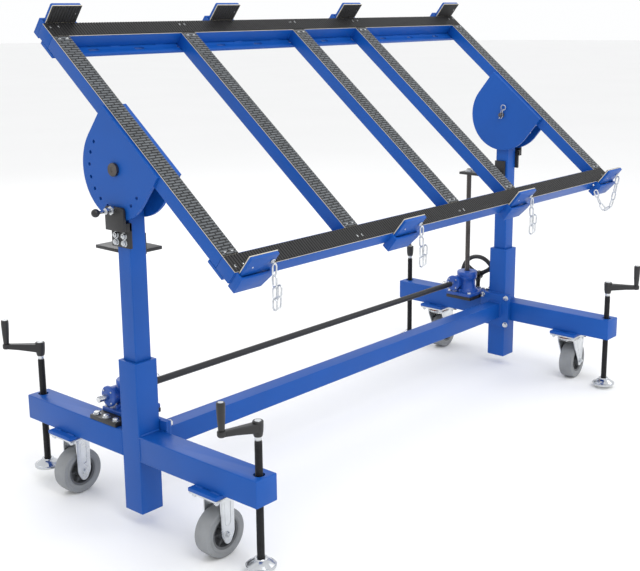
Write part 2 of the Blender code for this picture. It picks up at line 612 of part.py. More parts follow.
def drive_line():
    stub_in_tube = SHAFT_END - 0.028
    part("worm_shaft_left", STEEL, drive,
         [worm_shaft(-SCREW_X - WORM_BOSS_REACH - WORM_STUB, -stub_in_tube, -SCREW_X)])
    bore = SHAFT_RADIUS - SHAFT_WALL
    part("connecting_shaft", BLACK, drive,
         [turned([(bore, -SHAFT_END), (SHAFT_RADIUS, -SHAFT_END), (SHAFT_RADIUS, SHAFT_END),
                  (bore, SHAFT_END)], "X")])
    wheel_x = COLUMN_X + HANDWHEEL_REACH
    rim = [(HANDWHEEL_RADIUS + HANDWHEEL_RIM * math.cos(angle), wheel_x + HANDWHEEL_RIM * math.sin(angle))
           for angle in (math.tau * step / 6 for step in range(6))]
    adds = [
        worm_shaft(stub_in_tube, wheel_x + 0.012, SCREW_X),
        rod(0.016, wheel_x - 0.010, wheel_x + 0.010, "X", segments=12),
        turned(rim, "X", segments=24),
    ]
    for spoke in range(HANDWHEEL_SPOKES):
        web = block((wheel_x - 0.004, wheel_x + 0.004), (-0.008, 0.008), (0.008, HANDWHEEL_RADIUS))
        web.data.transform(Matrix.Rotation(math.tau * spoke / HANDWHEEL_SPOKES, 4, "X"))
        adds.append(web)
    part("handwheel_worm_shaft", BLACK, drive, adds)


for side_name in SIDES:
    screw_jack(side_name)
drive_line()


# --- Carriage: inner posts, lift plates and screws, index brackets and plungers, pivot pins ---

carriage = frame_at("carriage", (0, 0, 0), stand)


def post(side_name, x):
    void = POST_HALF - POST_WALL
    top = PIVOT_HEIGHT + POST_ABOVE_PIVOT
    part(f"inner_post_{side_name}", BLUE, carriage,
         [block((x - POST_HALF, x + POST_HALF), (-POST_HALF, POST_HALF), (POST_BOTTOM, top))],
         [block((x - void, x + void), (-void, void), (POST_BOTTOM - 0.01, top + 0.01)),
          rod(PIVOT_RADIUS + RUNNING_GAP, x - 0.04, x + 0.04, "X", (0, 0, PIVOT_HEIGHT))])


def lift_plate(side_name, side):
    tab_outer = POST_INNER - GAP
    low = LIFT_PLATE_TOP - LIFT_PLATE_THICKNESS
    inner = SCREW_X - 0.030
    adds = [
        block((side * inner, side * (inner + LIFT_PLATE_WIDTH)), (LIFT_PLATE_FRONT, LIFT_PLATE_BACK),
              (low, LIFT_PLATE_TOP)),
        block((side * tab_outer, side * (tab_outer - LIFT_TAB_THICKNESS)), (-POST_HALF, POST_HALF),
              (low, low + LIFT_TAB_HEIGHT)),
    ]
    cuts = [
        block((side * tab_outer, side * (POST_OUTER + GAP)), (-POST_HALF - 0.02, POST_HALF + GAP),
              (low - 0.01, LIFT_PLATE_TOP + 0.01)),
        rod(SCREW_RADIUS + RUNNING_GAP, low - 0.01, LIFT_PLATE_TOP + 0.01,
            at=(side * SCREW_X, SCREW_OFFSET, 0)),
    ]
    part(f"lift_plate_{side_name}", BLACK, carriage, adds, cuts)
    nut_low = LIFT_PLATE_TOP + GAP
    part(f"lift_screw_{side_name}", DARK_STEEL, carriage,
         [rod(SCREW_RADIUS, ARM_TOP - SCREW_BELOW_ARM, SCREW_END, at=(side * SCREW_X, SCREW_OFFSET, 0)),
          rod(SCREW_NUT_RADIUS, nut_low, SCREW_END - 0.001, at=(side * SCREW_X, SCREW_OFFSET, 0),
              segments=6)])


def index_bracket(side_name, side):
    foot_top = PIVOT_HEIGHT - INDEX_PLATE_RADIUS - BRACKET_FOOT_GAP
    half = BRACKET_WIDTH / 2
    back = POST_OUTER + GAP
    upper_back = OUTER_PLATE_FACE + 0.002
    upper_front = upper_back + BRACKET_PLATE
    top = PLUNGER_Z + BRACKET_TOP_ABOVE_PLUNGER
    plunger_at = (0, PLUNGER_Y, PLUNGER_Z)
    sleeve = sorted((side * (upper_back + OVERLAP), side * (upper_front + PLUNGER_SLEEVE_LENGTH)))
    adds = [
        block((side * back, side * (upper_back + OVERLAP)), (-half, half),
              (foot_top - BRACKET_OVERLAP, foot_top)),
        block((side * back, side * (back + BRACKET_PLATE)), (-half, half),
              (foot_top - BRACKET_FOOT_HEIGHT, foot_top)),
        block((side * upper_back, side * upper_front), (-half, half), (foot_top - BRACKET_OVERLAP, top)),
        rod(PLUNGER_SLEEVE_RADIUS, *sleeve, "X", plunger_at, 16),
    ]
    bore = sorted((side * (upper_back - 0.01), side * (upper_front + PLUNGER_SLEEVE_LENGTH + 0.01)))
    cuts = [rod(PLUNGER_RADIUS + RUNNING_GAP, *bore, "X", plunger_at, 16)]
    part(f"index_bracket_{side_name}", BLACK, carriage, adds, cuts)
    tip = OUTER_PLATE_FACE + PLUNGER_CLEARANCE
    centre = tip + PLUNGER_LENGTH
    knob = [(0.0, tip), (PLUNGER_RADIUS, tip)]
    start = math.asin(PLUNGER_RADIUS / PLUNGER_KNOB_RADIUS)
    for step in range(7):
        angle = start + (math.pi - start) * step / 6
        knob.append((PLUNGER_KNOB_RADIUS * math.sin(angle) * (step < 6),
                     centre - PLUNGER_KNOB_RADIUS * math.cos(angle)))
    pin = turned([(radius, height * side) for radius, height in knob], "X", plunger_at, 16)
    part(f"index_plunger_{side_name}", PLASTIC, carriage, [pin])


def pivot_pin(side_name, side):
    limits = (INNER_PLATE_FACE - 0.013, OUTER_PLATE_FACE + GAP, OUTER_PLATE_FACE + GAP + 0.010)
    end, head_low, head_top = (side * value for value in limits)
    part(f"pivot_pin_{side_name}", DARK_STEEL, carriage,
         [turned([(0, end), (PIVOT_RADIUS, end), (PIVOT_RADIUS, head_low), (PIVOT_HEAD_RADIUS, head_low),
                  (PIVOT_HEAD_RADIUS, head_top), (0, head_top)], "X", (0, 0, PIVOT_HEIGHT))])


for side_name, side in SIDES.items():
    post(side_name, side * COLUMN_X)
    lift_plate(side_name, side)
    index_bracket(side_name, side)
    pivot_pin(side_name, side)


# --- Table: tilts about the pivot pins, so its frame's origin is on their axis ---

table = frame_at("table", (0, 0, PIVOT_HEIGHT), carriage, (TILT, 0, 0))


def along(distance):
    """Distance from the table's front edge, as the table frame's Y."""
    return distance - PIVOT_FROM_EDGE


def level(drop):
    """Distance below the pads' top, as the table frame's Z."""
    return PIVOT_BELOW_PADS - drop


RAIL_LEVELS = (level(PAD_THICKNESS), level(PAD_THICKNESS + RAIL_HEIGHT))
VOID_LEVELS = (level(PAD_THICKNESS + RAIL_WALL), level(PAD_THICKNESS + RAIL_HEIGHT - RAIL_WALL))


def box_tube(x, width):
    """A rail or bar between the long rails, open at both ends, and its bore."""
    run = (along(RAIL_WIDTH + GAP), along(TABLE_DEPTH - RAIL_WIDTH - GAP))
    outer = block((x - width / 2, x + width / 2), run, RAIL_LEVELS)
    bore = block((x - width / 2 + RAIL_WALL, x + width / 2 - RAIL_WALL), (run[0] - 0.01, run[1] + 0.01),
                 VOID_LEVELS)
    return outer, bore


def index_outline():
    """A tab with square shoulders at the rail and a half-round end about the pivot."""
    radius = INDEX_PLATE_RADIUS
    arc = [(radius * math.cos(math.pi + math.pi * step / 24), radius * math.sin(math.pi + math.pi * step / 24))
           for step in range(25)]
    shoulder = level(INDEX_PLATE_BELOW_PADS)
    return [(-radius, shoulder), *arc, (radius, shoulder)]


def side_frame(side_name, side):
    outer, bore = box_tube(side * (TABLE_HALF - RAIL_WIDTH / 2), RAIL_WIDTH)
    half = INDEX_PLATE_RADIUS
    adds = [
        outer,
        plate(index_outline(), (side * (TABLE_HALF - OVERLAP), side * OUTER_PLATE_FACE), "X"),
        plate(index_outline(), (side * INNER_PLATE_BACK, side * INNER_PLATE_FACE), "X"),
        block((side * (INNER_PLATE_BACK - OVERLAP), side * (RAIL_INNER + OVERLAP)), (-half, half),
              (RAIL_LEVELS[1], level(INDEX_PLATE_BELOW_PADS))),
    ]
    holes = sorted((side * (TABLE_HALF - 0.01), side * (OUTER_PLATE_FACE + 0.01)))
    pin_holes = sorted((side * (INNER_PLATE_FACE - 0.01), side * (OUTER_PLATE_FACE + 0.01)))
    cuts = [bore, rod(PIVOT_RADIUS + RUNNING_GAP, *pin_holes, "X")]
    for step in range(INDEX_HOLES):
        angle = math.radians(-90 + INDEX_STEP * (step - (INDEX_HOLES - 1) / 2))
        at = (0, INDEX_HOLE_CIRCLE * math.cos(angle), INDEX_HOLE_CIRCLE * math.sin(angle))
        cuts.append(rod(INDEX_HOLE_RADIUS, *holes, "X", at, 8))
    part(f"side_frame_{side_name}", BLUE, table, adds, cuts)


def long_rail(end_name):
    """The front or rear rail with its slotted strip and the pockets of its stops."""
    facing = ENDS[end_name]
    edge = along(0.0) if facing < 0 else along(TABLE_DEPTH)
    low = level(PAD_THICKNESS + RAIL_HEIGHT)
    strip_inner = edge - facing * (RAIL_WIDTH + STRIP_OVERHANG)
    strip_outer = strip_inner + facing * STRIP_WIDTH
    strip_levels = (low - GAP, low - GAP - STRIP_THICKNESS)
    wall = RAIL_WALL
    adds = [
        block((-TABLE_HALF, TABLE_HALF), (edge, edge - facing * RAIL_WIDTH), RAIL_LEVELS),
        block((-TABLE_HALF, TABLE_HALF), (strip_inner, strip_outer), strip_levels),
        block((-TABLE_HALF + wall, TABLE_HALF - wall),
              (strip_outer - facing * wall, edge - facing * (RAIL_WIDTH - wall)),
              (low + OVERLAP, low - GAP - OVERLAP)),
    ]
    cuts = [
        block((-TABLE_HALF + wall, TABLE_HALF - wall),
              (edge - facing * wall, edge - facing * (RAIL_WIDTH - wall)), VOID_LEVELS),
        rod(DRAIN_RADIUS, low - 0.01, low + 0.01, at=(STRIP_SLOT_PITCH / 2, edge - facing * 0.010, 0),
            segments=10),
    ]
    slot_y = edge - facing * (RAIL_WIDTH + STRIP_OVERHANG * 0.4)
    count = int((TABLE_HALF - STRIP_SLOT_LENGTH) / STRIP_SLOT_PITCH)
    for step in range(-count, count + 1):
        x = step * STRIP_SLOT_PITCH
        cuts.append(block((x - STRIP_SLOT_LENGTH / 2, x + STRIP_SLOT_LENGTH / 2),
                          (slot_y - STRIP_SLOT_WIDTH / 2, slot_y + STRIP_SLOT_WIDTH / 2),
                          (strip_levels[0] + 0.01, strip_levels[1] - 0.01)))
    inner = STOP_WIDTH / 2 + POCKET_CLEARANCE
    cover = STOP_THICKNESS + POCKET_SIDE_GAP
    top, bottom = level(POCKET_TOP), level(POCKET_BOTTOM)
    cut_start = bottom + POCKET_CUT_HEIGHT
    reach = inner + POCKET_WALL
    for x in STOP_CENTRES.values():
        outline = [(x - reach, top), (x - reach, bottom), (x + reach - POCKET_CUT_WIDTH, bottom),
                   (x + reach, cut_start), (x + reach, top)]
        adds.append(plate(outline, (edge + facing * cover, edge + facing * (cover + POCKET_COVER))))
        for side, low_end in ((-1, bottom), (1, cut_start)):
            adds.append(block((x + side * inner, x + side * reach),
                              (edge - facing * OVERLAP, edge + facing * (cover + OVERLAP)),
                              (top - 0.001, low_end)))
    part(f"{end_name}_rail", BLUE, table, adds, cuts)


def bar(number, x):
    outer, bore = box_tube(x, BAR_WIDTH)
    part(f"cross_bar_{number}", BLUE, table, [outer], [bore])


def pads():
    """One sheet of pad over every rail and bar, with the four bays cut out."""
    edges = [-RAIL_INNER]
    for x in BAR_CENTRES:
        edges += [x - BAR_WIDTH / 2, x + BAR_WIDTH / 2]
    edges.append(RAIL_INNER)
    sheet = block((-TABLE_HALF, TABLE_HALF), (along(0.0), along(TABLE_DEPTH)),
                  (level(0.0), level(PAD_THICKNESS - GAP)))
    bays = [block((low, high), (along(RAIL_WIDTH), along(TABLE_DEPTH - RAIL_WIDTH)),
                  (level(-0.01), level(PAD_THICKNESS + 0.01))) for low, high in zip(edges[::2], edges[1::2])]
    part("table_pads", PAD, table, [sheet], bays)


def stop(name, x, facing):
    edge = along(0.0) if facing < 0 else along(TABLE_DEPTH)
    body = block((x - STOP_WIDTH / 2, x + STOP_WIDTH / 2),
                 (edge + facing * GAP, edge + facing * (GAP + STOP_THICKNESS)),
                 (level(STOP_BELOW_PADS), level(-STOP_ABOVE_PADS)))
    part(name, BLUE, table, [body], origin=(x, edge + facing * STOP_THICKNESS, level(0.0)))


for side_name, side in SIDES.items():
    side_frame(side_name, side)
for end_name, facing in ENDS.items():
    long_rail(end_name)
    for place, x in STOP_CENTRES.items():
        stop(f"stop_{end_name}_{place}", x, facing)
for number, x in enumerate(BAR_CENTRES, start=1):
    bar(number, x)
pads()
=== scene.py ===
"""The looks of a tilting work table on two lifting columns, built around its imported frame."""

import math

import bmesh
import bpy
from mathutils import Matrix, Vector


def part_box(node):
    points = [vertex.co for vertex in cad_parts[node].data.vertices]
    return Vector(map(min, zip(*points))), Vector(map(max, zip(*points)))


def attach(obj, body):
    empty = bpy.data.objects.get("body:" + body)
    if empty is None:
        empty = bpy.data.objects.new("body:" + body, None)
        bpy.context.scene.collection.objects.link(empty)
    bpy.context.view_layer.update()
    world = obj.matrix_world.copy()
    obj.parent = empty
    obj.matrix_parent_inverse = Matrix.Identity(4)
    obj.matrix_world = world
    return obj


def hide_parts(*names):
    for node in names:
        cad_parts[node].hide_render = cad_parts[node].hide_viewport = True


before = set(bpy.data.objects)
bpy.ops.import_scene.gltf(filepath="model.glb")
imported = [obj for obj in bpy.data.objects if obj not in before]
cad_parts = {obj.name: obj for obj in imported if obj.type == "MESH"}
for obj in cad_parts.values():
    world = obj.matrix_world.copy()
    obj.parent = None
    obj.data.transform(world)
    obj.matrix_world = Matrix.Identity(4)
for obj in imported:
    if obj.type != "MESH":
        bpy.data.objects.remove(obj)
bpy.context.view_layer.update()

# --- Camera ---
# A short telephoto lens at chest height, off the table's left front corner.
camera_data = bpy.data.cameras.new("camera")
camera_data.lens = 61.77
camera_data.sensor_width = 36.0
camera_data.shift_x = -0.0402
camera_data.shift_y = -0.0455
camera = bpy.data.objects.new("camera", camera_data)
bpy.context.scene.collection.objects.link(camera)
camera.matrix_world = (Matrix.Translation((-2.557, -2.1495, 1.332))
                       @ Matrix.Rotation(math.radians(-49.41), 4, "Z")
                       @ Matrix.Rotation(math.radians(90 - 12.89), 4, "X")
                       @ Matrix.Rotation(math.radians(-0.24), 4, "Z"))
bpy.context.scene.camera = camera

# --- Floor and lights ---
# A pale studio floor that runs out of sight, under large soft lights and a bright even surround.
floor_paint = bpy.data.materials.new("studio_floor")
floor_paint.use_nodes = True
floor_nodes, floor_links = floor_paint.node_tree.nodes, floor_paint.node_tree.links
floor_shader = floor_nodes["Principled BSDF"]
floor_place = floor_nodes.new("ShaderNodeTexCoord")
floor_cloud = floor_nodes.new("ShaderNodeTexNoise")
floor_cloud.inputs["Scale"].default_value = 0.8
floor_tone = floor_nodes.new("ShaderNodeValToRGB")
floor_tone.color_ramp.elements[0].color = (0.90, 0.90, 0.90, 1.0)
floor_tone.color_ramp.elements[1].color = (0.93, 0.93, 0.93, 1.0)
floor_links.new(floor_place.outputs["Object"], floor_cloud.inputs["Vector"])
floor_links.new(floor_cloud.outputs["Fac"], floor_tone.inputs["Fac"])
floor_links.new(floor_tone.outputs["Color"], floor_shader.inputs["Base Color"])
floor_shader.inputs["Roughness"].default_value = 0.85
floor_mesh = bpy.data.meshes.new("floor")
floor_shape = bmesh.new()
bmesh.ops.create_circle(floor_shape, cap_ends=True, segments=96, radius=40.0)
floor_shape.to_mesh(floor_mesh)
floor_shape.free()
floor_mesh.materials.append(floor_paint)
floor = bpy.data.objects.new("floor", floor_mesh)
bpy.context.scene.collection.objects.link(floor)

surround = bpy.data.worlds.new("surround")
surround.use_nodes = True
surround.node_tree.nodes["Background"].inputs["Color"].default_value = (0.99, 0.995, 1.0, 1.0)
surround.node_tree.nodes["Background"].inputs["Strength"].default_value = 1.0
bpy.context.scene.world = surround
bpy.context.scene.view_settings.view_transform = "Standard"

for light_name, light_at, light_size, light_power in (
        ("key_light", (-1.2, -3.2, 4.4), 2.4, 85.0), ("fill_light", (3.4, -2.6, 2.6), 2.4, 22.0),
        ("back_light", (1.0, 3.8, 3.4), 2.4, 45.0)):
    light_data = bpy.data.lights.new(light_name, "AREA")
    light_data.shape = "SQUARE"
    light_data.size = light_size
    light_data.energy = light_power
    light = bpy.data.objects.new(light_name, light_data)
    bpy.context.scene.collection.objects.link(light)
    light.location = light_at
    light.rotation_euler = (Vector((0.0, 0.0, 0.6)) - Vector(light_at)).to_track_quat("-Z", "Y").to_euler()

# --- Columns, arms and adapter plates ---
# Each side is a 70 mm square column welded between two 70 mm arms, with a bolting flange for the cross
# beam and a plate under each arm for its castor. All are mild steel, powder coated royal blue.
def coating(name, colour, roughness, metallic=0.0, tone=0.08, cloud=7.0, grain=900.0, bump=0.06,
            shine=0.5):
    """A finish whose shade and gloss drift slightly, with a fine grain in its surface."""
    material = bpy.data.materials.new(name)
    material.use_nodes = True
    nodes, links = material.node_tree.nodes, material.node_tree.links
    shader = nodes["Principled BSDF"]
    place = nodes.new("ShaderNodeTexCoord")
    drift = nodes.new("ShaderNodeTexNoise")
    drift.inputs["Scale"].default_value = cloud
    drift.inputs["Detail"].default_value = 5.0
    shade = nodes.new("ShaderNodeValToRGB")
    shade.color_ramp.elements[0].position = 0.3
    shade.color_ramp.elements[1].position = 0.7
    shade.color_ramp.elements[0].color = (*[c * (1 - tone) for c in colour], 1.0)
    shade.color_ramp.elements[1].color = (*[min(1.0, c * (1 + tone)) for c in colour], 1.0)
    gloss = nodes.new("ShaderNodeMapRange")
    gloss.inputs["To Min"].default_value = roughness * 0.82
    gloss.inputs["To Max"].default_value = roughness * 1.18
    texture = nodes.new("ShaderNodeTexNoise")
    texture.inputs["Scale"].default_value = grain
    texture.inputs["Detail"].default_value = 3.0
    relief = nodes.new("ShaderNodeBump")
    relief.inputs["Strength"].default_value = bump
    relief.inputs["Distance"].default_value = 0.001
    links.new(place.outputs["Object"], drift.inputs["Vector"])
    links.new(place.outputs["Object"], texture.inputs["Vector"])
    links.new(drift.outputs["Fac"], shade.inputs["Fac"])
    links.new(drift.outputs["Fac"], gloss.inputs["Value"])
    links.new(shade.outputs["Color"], shader.inputs["Base Color"])
    links.new(gloss.outputs["Result"], shader.inputs["Roughness"])
    links.new(texture.outputs["Fac"], relief.inputs["Height"])
    links.new(relief.outputs["Normal"], shader.inputs["Normal"])
    shader.inputs["Metallic"].default_value = metallic
    shader.inputs["Specular IOR Level"].default_value = shine
    return material


def piece(name, shapes, material, body, replaces=(), place=None, crease=35.0):
    """Joins finished shapes into one named piece that rides on a body of the frame."""
    whole = bmesh.new()
    for shape in shapes:
        part = bpy.data.meshes.new("part")
        shape.to_mesh(part)
        shape.free()
        whole.from_mesh(part)
        bpy.data.meshes.remove(part)
    if place is not None:
        whole.transform(place)
    mesh = bpy.data.meshes.new(name)
    whole.to_mesh(mesh)
    whole.free()
    mesh.materials.append(material)
    mesh.shade_smooth()
    mesh.set_sharp_from_angle(angle=math.radians(crease))
    made = bpy.data.objects.new(name, mesh)
    bpy.context.scene.collection.objects.link(made)
    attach(made, body)
    if replaces:
        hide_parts(*replaces)
    return made


def moved(shape, *steps):
    for step in steps:
        shape.transform(step)
    return shape


def shift(x, y, z):
    return Matrix.Translation((x, y, z))


def turn(degrees, axis):
    return Matrix.Rotation(math.radians(degrees), 4, axis)


def eased(shape, width, segments=2, over=30.0):
    """Rounds every edge that is sharper than an angle."""
    sharp = [edge for edge in shape.edges if edge.calc_face_angle(0.0) > math.radians(over)]
    bmesh.ops.bevel(shape, geom=sharp, offset=width, segments=segments, affect="EDGES", profile=0.5,
                    material=-1, clamp_overlap=True)
    return shape


def slab(low, high, soft=0.0010, segments=2):
    """A plate or bar between two corners."""
    low, high = [Vector(map(min, low, high)), Vector(map(max, low, high))]
    shape = bmesh.new()
    bmesh.ops.create_cube(shape, size=1.0)
    bmesh.ops.scale(shape, vec=high - low, verts=shape.verts)
    bmesh.ops.translate(shape, vec=(low + high) / 2, verts=shape.verts)
    return eased(shape, soft, segments) if soft else shape


def square_tube(low, high, along, corner=0.0032, end_soft=0.0012):
    """A closed length of square tube, round along its four long edges."""
    shape = slab(low, high, 0.0)
    axis = Vector([float(letter == along) for letter in "XYZ"])
    long_edges = [edge for edge in shape.edges
                  if abs((edge.verts[1].co - edge.verts[0].co).normalized().dot(axis)) > 0.9]
    bmesh.ops.bevel(shape, geom=long_edges, offset=corner, segments=5, affect="EDGES", profile=0.5,
                    material=-1)
    return eased(shape, end_soft, 2, over=60.0)


def turned(profile, steps=40):
    """A lathe-turned solid about Z from (radius, height) points; off the axis it is a ring."""
    shape = bmesh.new()
    points = [shape.verts.new((radius, 0.0, height)) for radius, height in profile]
    edges = [shape.edges.new(pair) for pair in zip(points, points[1:])]
    if min(radius for radius, _ in profile) > 0:
        edges.append(shape.edges.new((points[-1], points[0])))
    bmesh.ops.spin(shape, geom=points + edges, cent=(0, 0, 0), axis=(0, 0, 1), dvec=(0, 0, 0),
                   angle=math.tau, steps=steps, use_merge=True)
    bmesh.ops.remove_doubles(shape, verts=shape.verts, dist=1e-6)
    bmesh.ops.recalc_face_normals(shape, faces=shape.faces)
    return shape


def cut_by(shape, tools):
    """Takes the tools away from a shape."""
    holders = []
    for solid in (shape, *tools):
        mesh = bpy.data.meshes.new("cut")
        solid.to_mesh(mesh)
        solid.free()
        holder = bpy.data.objects.new("cut", mesh)
        bpy.context.scene.collection.objects.link(holder)
        holders.append(holder)
    for tool in holders[1:]:
        modifier = holders[0].modifiers.new("cut", "BOOLEAN")
        modifier.operation = "DIFFERENCE"
        modifier.object = tool
    result = bmesh.new()
    result.from_object(holders[0], bpy.context.evaluated_depsgraph_get())
    for holder in holders:
        bpy.data.objects.remove(holder)
    bmesh.ops.dissolve_limit(result, angle_limit=math.radians(0.5), verts=result.verts, edges=result.edges)
    return result


def round_bar(radius, start, end, steps=24, soft=0.0006):
    return turned([(0, start), (radius - soft, start), (radius, start + soft), (radius, end - soft),
                   (radius - soft, end), (0, end)], steps)


def swept(points, radii, closed=False, roundness=3):
    """A round bar along a path, with one radius for all points or one for each."""
    curve = bpy.data.curves.new("path", "CURVE")
    curve.dimensions = "3D"
    curve.bevel_depth = 1.0
    curve.bevel_resolution = roundness
    curve.use_fill_caps = True
    spline = curve.splines.new("POLY")
    spline.points.add(len(points) - 1)
    spline.use_cyclic_u = closed
    for index, (point, at) in enumerate(zip(spline.points, points)):
        point.co = (*at, 1.0)
        point.radius = radii if isinstance(radii, float) else radii[index]
    holder = bpy.data.objects.new("path", curve)
    bpy.context.scene.collection.objects.link(holder)
    mesh = bpy.data.meshes.new_from_object(holder)
    bpy.data.objects.remove(holder)
    shape = bmesh.new()
    shape.from_mesh(mesh)
    bpy.data.meshes.remove(mesh)
    bmesh.ops.remove_doubles(shape, verts=shape.verts, dist=1e-6)
    bmesh.ops.recalc_face_normals(shape, faces=shape.faces)
    return shape


def weld(corners, radius=0.0028, closed=False, pitch=0.0032):
    """A rippled weld bead along straight runs between corners."""
    corners = [Vector(corner) for corner in corners]
    if closed:
        corners.append(corners[0])
    points = []
    for start, end in zip(corners, corners[1:]):
        count = max(2, round((end - start).length / pitch))
        points += [start.lerp(end, step / count) for step in range(count)]
    if not closed:
        points.append(corners[-1])
    radii = [radius * (1.12 if step % 2 else 0.88) for step in range(len(points))]
    return swept(points, radii, closed, 1)


SIDES = {"left": -1, "right": 1}
ENDS = {"front": -1, "rear": 1}
column_x = 0.863
leg_low, leg_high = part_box("leg_left")
stand_y = (leg_low.y + leg_high.y) / 2
column_low, column_high = leg_low.z, leg_high.z
column_half = 0.035
arm_end = 0.459
arm_low, arm_high = 0.1845, 0.2545
flange_half = 0.061
flange_thickness = 0.008
beam_z = 0.220
castor_y = 0.290
adapter_half_width, adapter_half_length, adapter_thickness = 0.055, 0.049, 0.010
leveller_y = 0.434
blue = coating("royal_blue_powder_coat", (0.004, 0.080, 0.37), 0.42, tone=0.07, cloud=5.0, grain=700.0,
               bump=0.05, shine=0.28)
for side_name, side in SIDES.items():
    x = side * column_x
    column = square_tube((x - column_half, stand_y - column_half, column_low),
                         (x + column_half, stand_y + column_half, column_high), "Z")
    mouth = slab((x - 0.0258, stand_y - 0.0258, column_high - 0.12),
                 (x + 0.0258, stand_y + 0.0258, column_high + 0.02), 0.0)
    piece(f"column_{side_name}", [eased(cut_by(column, [mouth]), 0.0008, 2, over=80.0)], blue, "base",
          [f"leg_{side_name}"])
    inner = column_x - column_half
    beads, dots = [], []
    for end_name, end in ENDS.items():
        root, tip = stand_y + end * column_half, stand_y + end * arm_end
        arm = square_tube((x - column_half, root - end * 0.004, arm_low),
                          (x + column_half, tip, arm_high), "Y", end_soft=0.0025)
        screw_hole = moved(round_bar(0.0145, arm_low - 0.02, arm_high + 0.02, 40),
                           shift(x, stand_y + end * leveller_y, 0))
        piece(f"arm_{side_name}_{end_name}", [cut_by(arm, [screw_hole])], blue, "base")
        across = column_half - 0.004
        beads.append(weld([(x - across, root, arm_high + 0.0005), (x + across, root, arm_high + 0.0005)]))
        beads.append(weld([(x - across, root, arm_low - 0.0005), (x + across, root, arm_low - 0.0005)]))
        for face in (-1, 1):
            seam = (x + face * (column_half - 0.0005), root + end * 0.0015)
            beads.append(weld([(*seam, arm_low + 0.005), (*seam, arm_high - 0.005)], 0.0018))
        middle = stand_y + end * castor_y
        adapter = slab((x - adapter_half_width, middle - adapter_half_length, arm_low - adapter_thickness),
                       (x + adapter_half_width, middle + adapter_half_length, arm_low), 0.0012)
        piece(f"castor_adapter_{side_name}_{end_name}", [adapter], blue, "base")
        for face in (-1, 1):
            seam_x = x + face * (column_half + 0.0008)
            for run in (-0.030, 0.030):
                dots.append(weld([(seam_x, middle + run - 0.014, arm_low),
                                  (seam_x, middle + run + 0.014, arm_low)], 0.0026))
    piece(f"column_flange_{side_name}",
          [slab((side * inner, stand_y - flange_half, beam_z - flange_half),
                (side * (inner - flange_thickness), stand_y + flange_half, beam_z + flange_half), 0.0012)],
          blue, "base")
    seam_x = side * (inner - 0.001)
    for seam_z in (beam_z + flange_half + 0.0005, beam_z - flange_half - 0.0005):
        beads.append(weld([(seam_x, stand_y - column_half, seam_z),
                           (seam_x, stand_y + column_half, seam_z)], 0.003))
    piece(f"leg_welds_{side_name}", beads + dots, blue, "base")

# --- Cross beam ---
# A 54 mm square tube with a welded flange at each end, held to the columns by four plated bolts a side.
def hexagon(radius, height, soft=0.0007):
    """A hexagonal head or nut standing on Z = 0, chamfered on top."""
    shape = bmesh.new()
    bmesh.ops.create_cone(shape, cap_ends=True, segments=6, radius1=radius, radius2=radius, depth=height)
    bmesh.ops.translate(shape, vec=(0, 0, height / 2), verts=shape.verts)
    return eased(shape, soft, 2)


def washer(bore, radius, thickness, low=0.0):
    soft, high = thickness * 0.2, low + thickness
    return turned([(bore, low), (radius - soft, low), (radius, low + soft), (radius, high - soft),
                   (radius - soft, high), (bore, high)], 28)


def facing(direction, at):
    """Sets a shape that stands on Z = 0 down at a point, pointing along a direction."""
    return shift(*at) @ Vector(direction).to_track_quat("Z", "Y").to_matrix().to_4x4()


zinc = coating("bright_zinc_plate", (0.62, 0.64, 0.66), 0.28, metallic=1.0, tone=0.10, cloud=30.0,
               grain=400.0, bump=0.10)
beam_half = 0.027
beam_end = column_x - column_half - flange_thickness - 0.0003
beam_shapes = [square_tube((-beam_end + 0.004, stand_y - beam_half, beam_z - beam_half),
                           (beam_end - 0.004, stand_y + beam_half, beam_z + beam_half), "X", 0.0030)]
beam_bolts = []
for side in SIDES.values():
    plate_face = side * (beam_end - flange_thickness)
    beam_shapes.append(slab((side * beam_end, stand_y - flange_half, beam_z - flange_half),
                            (plate_face, stand_y + flange_half, beam_z + flange_half), 0.0012))
    ring = beam_half + 0.0006
    beam_shapes.append(weld([(plate_face - side * 0.0012, stand_y + y * ring, beam_z + z * ring)
                             for y, z in ((-1, -1), (1, -1), (1, 1), (-1, 1))], 0.0030, closed=True))
    for y in (-0.051, 0.051):
        for z in (-0.051, 0.051):
            bolt_place = facing((-side, 0, 0), (plate_face, stand_y + y, beam_z + z))
            beam_bolts += [moved(washer(0.004, 0.0098, 0.0014), bolt_place),
                           moved(hexagon(0.0088, 0.0068), shift(0, 0, 0.0012), bolt_place)]
piece("cross_beam_tube", beam_shapes, blue, "base", ["cross_beam"])
piece("cross_beam_bolts", beam_bolts, zinc, "base")

# --- Castors ---
# The left pair is rigid and the right pair swivels, with a brake pedal. Forks and top plates are pressed
# zinc-plated steel; the wheels are grey rubber on dark nylon centres with six ribs.
tyre_rubber = coating("grey_castor_rubber", (0.235, 0.245, 0.255), 0.55, tone=0.12, cloud=18.0,
                      grain=1400.0, bump=0.15)
centre_nylon = coating("dark_wheel_centre", (0.085, 0.090, 0.097), 0.45, tone=0.15, cloud=40.0, grain=900.0,
                       bump=0.12)
seal_orange = coating("orange_raceway_seal", (0.62, 0.17, 0.03), 0.5, tone=0.1, cloud=40.0)
black_plastic = coating("black_moulded_plastic", (0.014, 0.014, 0.015), 0.38, tone=0.2, cloud=25.0,
                        grain=1600.0, bump=0.12)
plate_top, plate_low = 0.1745, 0.1685
axle_z = 0.064
fork_inner, fork_outer = 0.0282, 0.0322


def tyre():
    half = [(0.0410, 0.0215), (0.0425, 0.0235), (0.0455, 0.0250), (0.0495, 0.0250), (0.0505, 0.0236),
            (0.0560, 0.0242), (0.0602, 0.0240), (0.0622, 0.0222), (0.0631, 0.0180), (0.0637, 0.0090)]
    return turned(half + [(0.0640, 0.0)] + [(radius, -height) for radius, height in reversed(half)], 72)


